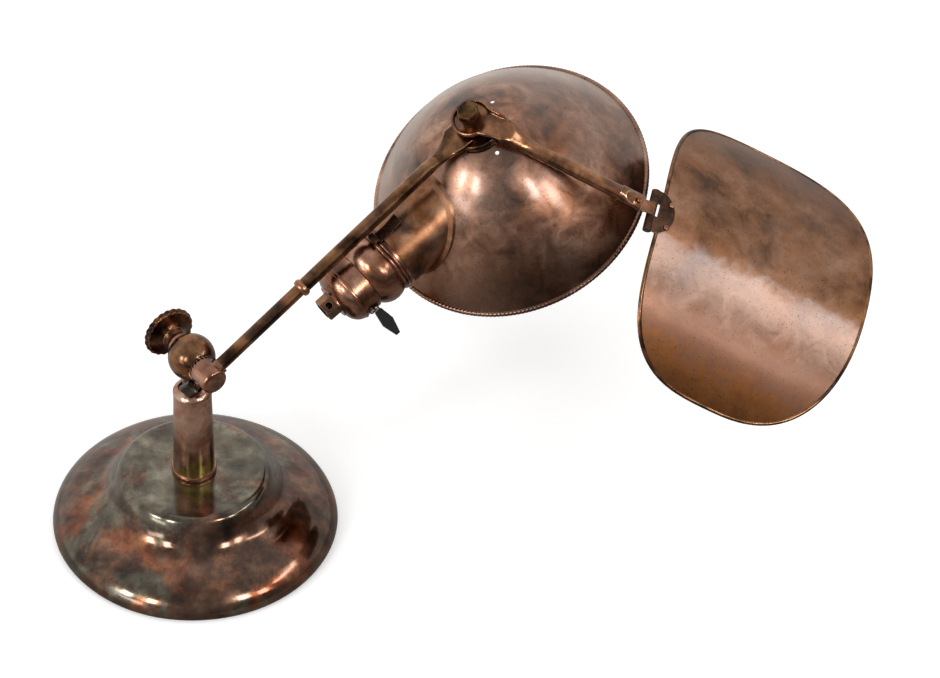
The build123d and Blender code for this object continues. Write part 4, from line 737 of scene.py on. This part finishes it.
outline = flowing(BASE_STATIONS, STATION_STEPS)
heading = np.gradient(outline, axis=0)
heading /= np.hypot(heading[:, :1], heading[:, 1:])
inner_side = outline + BASE_WALL * np.stack([heading[:, 1], -heading[:, 0]], axis=1)
sheet_line = np.vstack([outline, inner_side[::-1]])
round_base = full_turn(BASE_STEPS)
waves = sum(height * np.sin(count * round_base + phase) for height, count, phase in BASE_WAVES)
on_flange = sheet_line[:, :1] > FLANGE_START
dress("spun_base", revolved(WORLD, sheet_line, round_base, waves * on_flange), base_plating,
      "base", ["base_shell"])

# %% [markdown]
# ## The roped rim
#
# The shade's edge is curled over a wire, and the curl is pressed into a rope.  A
# bump map could fake it, but the outline of the rim would stay smooth.  So it is
# a tube round the rim whose section swells and shrinks as a twist runs along it.
# Radius over the tube's angle and the rim's angle: 1.75 times (1 + 0.05 times
# the cosine of twice the one less 215 times the other).

# %% Rim
RIM_RADIUS = 80.3
RIM_DROP = 74.9
ROPE_RADIUS = 1.75
ROPE_SWELL = 0.05
ROPE_TURNS = 215
ROPE_STEPS = 10       # points along the rim for each turn of the rope
ROPE_SIDES = 14
round_rim = full_turn(ROPE_TURNS * ROPE_STEPS)
round_tube = np.linspace(0, 2 * pi, ROPE_SIDES, endpoint=False)[:, None]
swell = ROPE_RADIUS * (1 + ROPE_SWELL * np.cos(2 * round_tube - ROPE_TURNS * round_rim))
rope_out = RIM_RADIUS + swell * np.cos(round_tube)
rope_up = swell * np.sin(round_tube) - RIM_DROP
rope = carried(shade, rope_out * np.cos(round_rim), rope_out * np.sin(round_rim), rope_up)
dress("roped_rim", rope, spun_dome, "shade", ["shade_rim"])

# %% [markdown]
# ## The clamp knob
#
# The knob flares like a trumpet from a slim hub to a broad rim with small
# lobes for the fingers, and its back is dished.  Lobes cut out of a turned
# solid would leave hard edges.  Here one outline with rounded corners is turned
# about the clutch bolt, and near the rim a wave of 22 lobes swells the radius.

# %% Knob
KNOB_LINE = [      # radius, distance from the ball's centre, rounding of the corner
    (3.2, 13.5, 0), (6.2, 13.5, 0.4), (6.2, 15.3, 0.5), (5.4, 16.0, 0.6), (5.7, 18.6, 1.6), (8.2, 21.2, 2.4),
    (13.2, 22.9, 1.6), (14.9, 23.2, 0.8), (15.5, 25.0, 1.0), (14.8, 26.9, 0.8), (12.0, 26.5, 1.0),
    (9.8, 25.7, 1.4), (3.2, 25.5, 0)]
CORNER_STEPS = 8
KNOB_LOBES = 22
LOBE_STEPS = 24
LOBE_HEIGHT = 0.75
LOBE_MIDDLE = 0.62            # near the mean of the wave, so that the rim keeps its size
LOBES_FROM, LOBES_RISE = 12.2, 2.6


def rounded(corners, steps):
    """Line through corners (x, y, rounding): each is cut back by its rounding and bridged by a parabola."""
    spots = np.array([corner[:2] for corner in corners], dtype=float)
    share = np.linspace(0, 1, steps + 1)[:, None]
    line = []
    for index, spot in enumerate(spots):
        cut = corners[index][2]
        before, after = spots[index - 1], spots[(index + 1) % len(spots)]
        start = spot + (before - spot) / np.hypot(*(before - spot)) * cut
        end = spot + (after - spot) / np.hypot(*(after - spot)) * cut
        bridge = (1 - share)**2 * start + 2 * share * (1 - share) * spot + share**2 * end
        line.append(bridge if cut else spot[None])
    return np.vstack(line)


knob_line = rounded(KNOB_LINE, CORNER_STEPS)
round_knob = full_turn(KNOB_LOBES * LOBE_STEPS)
at_rim = np.clip((knob_line[:, :1] - LOBES_FROM) / LOBES_RISE, 0, 1)
lobes = LOBE_HEIGHT * at_rim * (np.abs(np.cos(KNOB_LOBES / 2 * round_knob)) - LOBE_MIDDLE)
dress("scalloped_knob", revolved(knob, knob_line, round_knob, lobes), knob_copper, "knob", ["clutch_knob"])

# %% [markdown]
# ## The clutch's teeth
#
# Between the ball and the barrel two rings of radial teeth lock the arm at its
# angle.  The outer ends of the teeth stand a little proud, so a row of dark
# notches shows round the joint.  Wedges could be cut out of a ring one by one;
# a ring whose edge rises and falls as a triangle wave over the angle is lighter
# and has no cut that could fail.

# %% Teeth
TOOTH_COUNT = 22
TOOTH_STEPS = 16
TOOTH_DEPTH = 1.5
RING_OUTER, RING_INNER = 8.45, 7.0
RING_FOOT, RING_CREST = 9.7, 11.5
round_ring = full_turn(TOOTH_COUNT * TOOTH_STEPS)
wave = np.abs((round_ring * TOOTH_COUNT / (2 * pi)) % 1 * 2 - 1)
ring_radius = np.array([RING_OUTER, RING_OUTER, RING_INNER, RING_INNER])[:, None]
ring_height = np.array([RING_FOOT, RING_CREST, RING_CREST, RING_FOOT])[:, None]
is_crest = np.array([0, 1, 1, 0])[:, None]
teeth = carried(clutch, ring_radius * np.cos(round_ring), ring_radius * np.sin(round_ring),
                ring_height - is_crest * TOOTH_DEPTH * wave)
dress("clutch_teeth", teeth, dark_copper, "knuckle", [])

# %% [markdown]
# ## The shield's arm
#
# The arm that carries the shield was a tube, pressed flat at one end and
# hollowed like a spoon round the pivot bolt.  A curve with a bevel keeps one
# section all along, so the arm is a row of sections worked out one by one.
# Each is made of a lower and an upper half.  At the bolt the upper half sinks to
# a flat floor between two narrow rims; further out it rises through a blunt nose
# until the section is a circle.  The middle line runs level past the bolt, then
# slopes down beside the dome.

# %% Arm stations
CUP_RADIUS = 11.6
CUP_TOP = 11.5
CUP_DEEP = 3.0
CUP_THICK = 5.3
CUP_WALL = 1.4
CUP_END = 14.0
CUP_FLANK = 1.6               # how steeply the floor sinks from the rims
NECK_START = 8.0
TUBE_RADIUS = 4.25
TUBE_POINT = (26.0, -4.2)     # a point of the tube's middle line: along the arm, up
TUBE_FALL = tan(radians(SHIELD_TUBE_SLOPE))
TUBE_END = 90.0
CUP_SECTIONS, NECK_SECTIONS, HALF_STEPS = 40, 130, 24
NECK_FROM, NECK_TO = 0.3, 44
TUBE_PLACES = [60, 75, TUBE_END]
# Each of these is places along the arm in mm, and the values there
NECK_HALF = ([NECK_START, 38], [8.4, TUBE_RADIUS])
RIM_WIDTH = ([CUP_END, 30], [CUP_WALL, 0])
NOSE_LIFT = ([CUP_END, 25, 38], [-CUP_DEEP, 2.0, TUBE_RADIUS])
BELLY = ([6, 36], [CUP_THICK, TUBE_RADIUS])
ROUNDNESS = ([10, 30], [0.35, 1.0])
ON_SLOPE = ([9, 36], [0, 1])


def eased(along, places, values):
    """Values at the places along the arm, joined by half waves of a cosine so that no step shows."""
    places, values = np.array(places, dtype=float), np.array(values, dtype=float)
    index = np.clip(np.searchsorted(places, along) - 1, 0, len(places) - 2)
    share = np.clip((along - places[index]) / (places[index + 1] - places[index]), 0, 1)
    return values[index] + (values[index + 1] - values[index]) * (1 - np.cos(pi * share)) / 2


cup_end = -CUP_RADIUS * np.cos(np.linspace(0, pi / 2, CUP_SECTIONS))
along = np.concatenate([cup_end, np.linspace(NECK_FROM, NECK_TO, NECK_SECTIONS), TUBE_PLACES])
print("sections of the arm:", len(along))

# %% Arm sections
disc_half = np.sqrt(np.maximum(CUP_RADIUS**2 - along**2, 0))
outer_half = np.where(along < NECK_START, disc_half, eased(along, *NECK_HALF))
floor_half = np.sqrt(np.maximum((CUP_RADIUS - CUP_WALL)**2 - np.minimum(along, 0)**2, 0))
inner_half = np.minimum(floor_half, np.maximum(outer_half - eased(along, *RIM_WIDTH), 0))
lift = np.where(along < CUP_END, -np.minimum(CUP_DEEP, inner_half * CUP_FLANK), eased(along, *NOSE_LIFT))
below = eased(along, *BELLY)
power = eased(along, *ROUNDNESS)[:, None]
slope_height = TUBE_POINT[1] - (along - TUBE_POINT[0]) * TUBE_FALL
on_slope = eased(along, *ON_SLOPE)
level = (1 - on_slope) * CUP_TOP + on_slope * slope_height

half_turn = np.linspace(0, pi, HALF_STEPS)[None, :]
across = np.hstack([outer_half[:, None] * -np.cos(half_turn), inner_half[:, None] * np.cos(half_turn)])
upward = np.hstack([-below[:, None] * np.sin(half_turn) ** power, lift[:, None] * np.sin(half_turn) ** power])
fall = np.gradient(level, along)[:, None]
lean = fall / np.sqrt(1 + fall ** 2)
arm_points = carried(shield_arm, along[:, None] - upward * lean, across,
                     level[:, None] + upward * np.sqrt(1 - lean**2))
dress("spoon_ended_arm", arm_points, arm_copper, "shield_arm", ["shield_arm_tube"], wrap_rows=False)

# %% [markdown]
# ## The shield
#
# A sheet cut to a rounded square, bent to a wide arc and rolled over a thin
# wire at its edge.  A plane with a bend modifier would do, but the rolled edge
# has to follow the same bend.  So a point of the flat sheet is given by the
# angle round the middle and a share of the way out to the edge, and the edge
# follows a superellipse: (x/a)^p + (y/b)^p = 1.  Bending then wraps the second
# direction round the arc.  Years of knocks left it slightly uneven.

# %% Bend of the shield
PLATE_LENGTH = 141.0
PLATE_GIRTH = 189.0
PLATE_START = 4.7
PLATE_BEND = 125.0
PLATE_POWER = 2.8
PLATE_SHIFT = 2.7
PLATE_TOP = 1.6
PLATE_WALL = 0.9
ROLL_RADIUS = 1.15
ROLL_DROP = PLATE_WALL / 2 + 0.2      # the wire's centre lies this far under the top face
ROLL_SIDES = 14
EDGE_LIFT = 0.04                      # keeps the rolled edge's own surface clear of the plate's
KNOCK_DEPTH = 0.35
KNOCK_LENGTH, KNOCK_WIDTH = 19, 27
PLATE_STEPS, PLATE_ROWS = 720, 90


def bent(out, girth, up):
    """Points of the bent sheet: distance out from the hinge, way round the bend and lift off the sheet."""
    radius = PLATE_BEND + up
    return carried(shield, PLATE_START + out, PLATE_SHIFT + radius * np.sin(girth / PLATE_BEND),
                   PLATE_TOP - PLATE_BEND + radius * np.cos(girth / PLATE_BEND))


round_plate = full_turn(PLATE_STEPS)
plate_sum = np.abs(np.cos(round_plate))**PLATE_POWER + np.abs(np.sin(round_plate))**PLATE_POWER
plate_edge = plate_sum ** (-1 / PLATE_POWER)
half_length, half_girth = PLATE_LENGTH / 2 - ROLL_RADIUS, PLATE_GIRTH / 2 - ROLL_RADIUS


def on_plate(share, side, up):
    """Points at a share of the way to the edge, plus some mm sideways past it, lifted off the sheet."""
    out = plate_edge * np.cos(round_plate) * (half_length * share + side)
    girth = plate_edge * np.sin(round_plate) * (half_girth * share + side)
    knocks = KNOCK_DEPTH * np.sin(out / KNOCK_LENGTH + 1.0) * np.sin(girth / KNOCK_WIDTH + 0.4)
    return bent(out + PLATE_LENGTH / 2, girth, up + knocks * np.clip(1 - share, 0, 1))


print("half sides of the shield:", round(half_length, 2), round(half_girth, 2))

# %% Shield and its rolled edge
share_out = np.linspace(0, 1, PLATE_ROWS)[:, None]
roll = np.linspace(pi / 2, -1.5 * pi, ROLL_SIDES)[:, None]


def rolled(radius, angles):
    """Rows of a tube of a radius round the wire at the edge."""
    return on_plate(1.0, radius * np.cos(angles), radius * np.sin(angles) - ROLL_DROP)


plate = [on_plate(share_out, 0, 0), rolled(ROLL_RADIUS, roll), on_plate(share_out[::-1], 0, -PLATE_WALL)]
dress("bent_shield", np.concatenate(plate), spun_shield, "shield", ["shield_plate"], wrap_rows=False)
dress("rolled_edge", rolled(ROLL_RADIUS + EDGE_LIFT, roll[:-1]), dark_copper, "shield", ["shield_bead"])

# %% [markdown]
# ## The floor
#
# The photograph is a studio shot on white paper.  A plain white floor would
# light the metal from below, and the dome would lose its deep browns.  So the
# floor is white to the camera only.  In the metal's mirror image it is a grey
# that darkens towards the right, as the sheet in the studio was.

# %% Floor
FLOOR_SIZE = 12.0
FLOOR_LIFT = 0.3                      # light of its own, for the camera
FADE_WAY = (0.64, -0.77, 0)
FADE_FROM, FADE_TO = -0.4, 0.5        # metres along that way
PAPER_WHITE = "#F4F4F3"
MIRRORED_TONES = ["#F2EEE8", "#A49F9A", "#4A4541"]


def pale_floor():
    """Square sheet under the lamp: white to the camera, and a fading grey in the metal's reflections."""
    half = FLOOR_SIZE / 2
    mesh = bpy.data.meshes.new("floor")
    corners = [(-half, -half, 0), (half, -half, 0), (half, half, 0), (-half, half, 0)]
    mesh.from_pydata(corners, [], [(0, 1, 2, 3)])
    sheet = bpy.data.objects.new("floor", mesh)
    bpy.context.scene.collection.objects.link(sheet)
    made, tree, shader, where = new_material("paper_sweep")
    rays = add(tree, "ShaderNodeLightPath", {})
    fade = remap(tree, dot(tree, where, FADE_WAY), FADE_FROM, FADE_TO)
    mirrored = ramp(tree, fade, (0.0, 0.45, 1.0), MIRRORED_TONES)
    colour = blend(tree, rays.outputs["Is Glossy Ray"], PAPER_WHITE, mirrored)
    own_light = calculate(tree, "MULTIPLY", rays.outputs["Is Camera Ray"], FLOOR_LIFT)
    values = {"Base Color": colour, "Roughness": 0.9, "Specular IOR Level": 0.1,
              "Emission Color": (1, 1, 1, 1), "Emission Strength": own_light}
    for name, value in values.items():
        feed(tree, shader.inputs[name], value)
    mesh.materials.append(made)


pale_floor()
print("floor of", FLOOR_SIZE, "metres")

# %% [markdown]
# ## The lamps
#
# Metal has no colour of its own in the dark: what it shows is the room.  The
# dome is a curved mirror, so where it is bright in the photograph tells where
# the lamps stood.  Four upright soft boxes stood in front, two left and two
# right.  A flat one at the right side draws the bright stripe on the shield,
# and a low one at the left lights the base's rim.  Sun or point lamps would
# give hard white dots instead of these soft windows.

# %% Lamps
LAMP_DISTANCE = 2.0      # metres from the shade's crown
UPRIGHT = (0.26, 0.46)
BOXES = [                # name, azimuth and elevation in degrees, size in metres, watts
    ("right_outer_box", -41, 24, UPRIGHT, 4.6), ("right_inner_box", -57, 29, UPRIGHT, 7.5),
    ("left_inner_box", -124, 21, UPRIGHT, 7.5), ("left_outer_box", -143, 18, UPRIGHT, 7.5),
    ("right_side_box", -15, 31, (0.8, 0.15), 3.6), ("left_low_box", -137, 3, (0.6, 0.25), 2.6)]


def way(azimuth, elevation):
    """Unit vector towards an azimuth (from +x towards +y) and an elevation, both in degrees."""
    level_part = cos(radians(elevation))
    return Vector((level_part * cos(radians(azimuth)), level_part * sin(radians(azimuth)),
                   sin(radians(elevation))))


def soft_box(name, azimuth, elevation, size, power):
    """Soft lamp of a size (width, height), turned to face the shade."""
    data = bpy.data.lights.new(name, "AREA")
    data.shape = "RECTANGLE"
    data.size, data.size_y = size
    data.energy = power
    made = bpy.data.objects.new(name, data)
    towards_lamp = way(azimuth, elevation)
    place = shade.translation * MM + towards_lamp * LAMP_DISTANCE
    made.matrix_world = placed(place, Vector((0, 0, 1)).cross(towards_lamp), towards_lamp)
    bpy.context.scene.collection.objects.link(made)


for box in BOXES:
    soft_box(*box)
print("soft boxes:", len(BOXES))

# %% [markdown]
# ## The room
#
# Between the lamps the dome mirrors the walls: pale behind and at the left, dim
# at the right front.  An evenly white world would make the metal look like
# plastic, and a photograph of a studio would bring shapes that weren't there.
# So the world is one grey level with soft round patches added, one of them
# negative.

# %% Room
ROOM_LEVEL = 0.46
PATCHES = [              # azimuth, elevation, full within, gone past (all in degrees), strength
    (150, 5, 0, 100, 0.4), (55, 52, 5, 65, 0.4), (-40, -5, 15, 50, -0.3)]


def patch_light(tree, facing, azimuth, elevation, inner, outer, strength):
    """Soft round patch of the room: full within an angle of a direction, and nothing past another."""
    near = dot(tree, facing, tuple(way(azimuth, elevation)))
    return remap(tree, near, cos(radians(outer)), cos(radians(inner)), 0.0, strength, "SMOOTHSTEP")


def room_light():
    """World whose brightness follows what the dome mirrored."""
    world = bpy.data.worlds.new("room")
    world.use_nodes = True
    bpy.context.scene.world = world
    tree = world.node_tree
    facing = add(tree, "ShaderNodeTexCoord", {}).outputs["Generated"]
    brightness = ROOM_LEVEL
    for patch in PATCHES:
        brightness = calculate(tree, "ADD", brightness, patch_light(tree, facing, *patch))
    feed(tree, tree.nodes["Background"].inputs["Strength"], brightness)
    feed(tree, tree.nodes["Background"].inputs["Color"], (1, 1, 1, 1))


room_light()
print("patches of light in the room:", len(PATCHES))
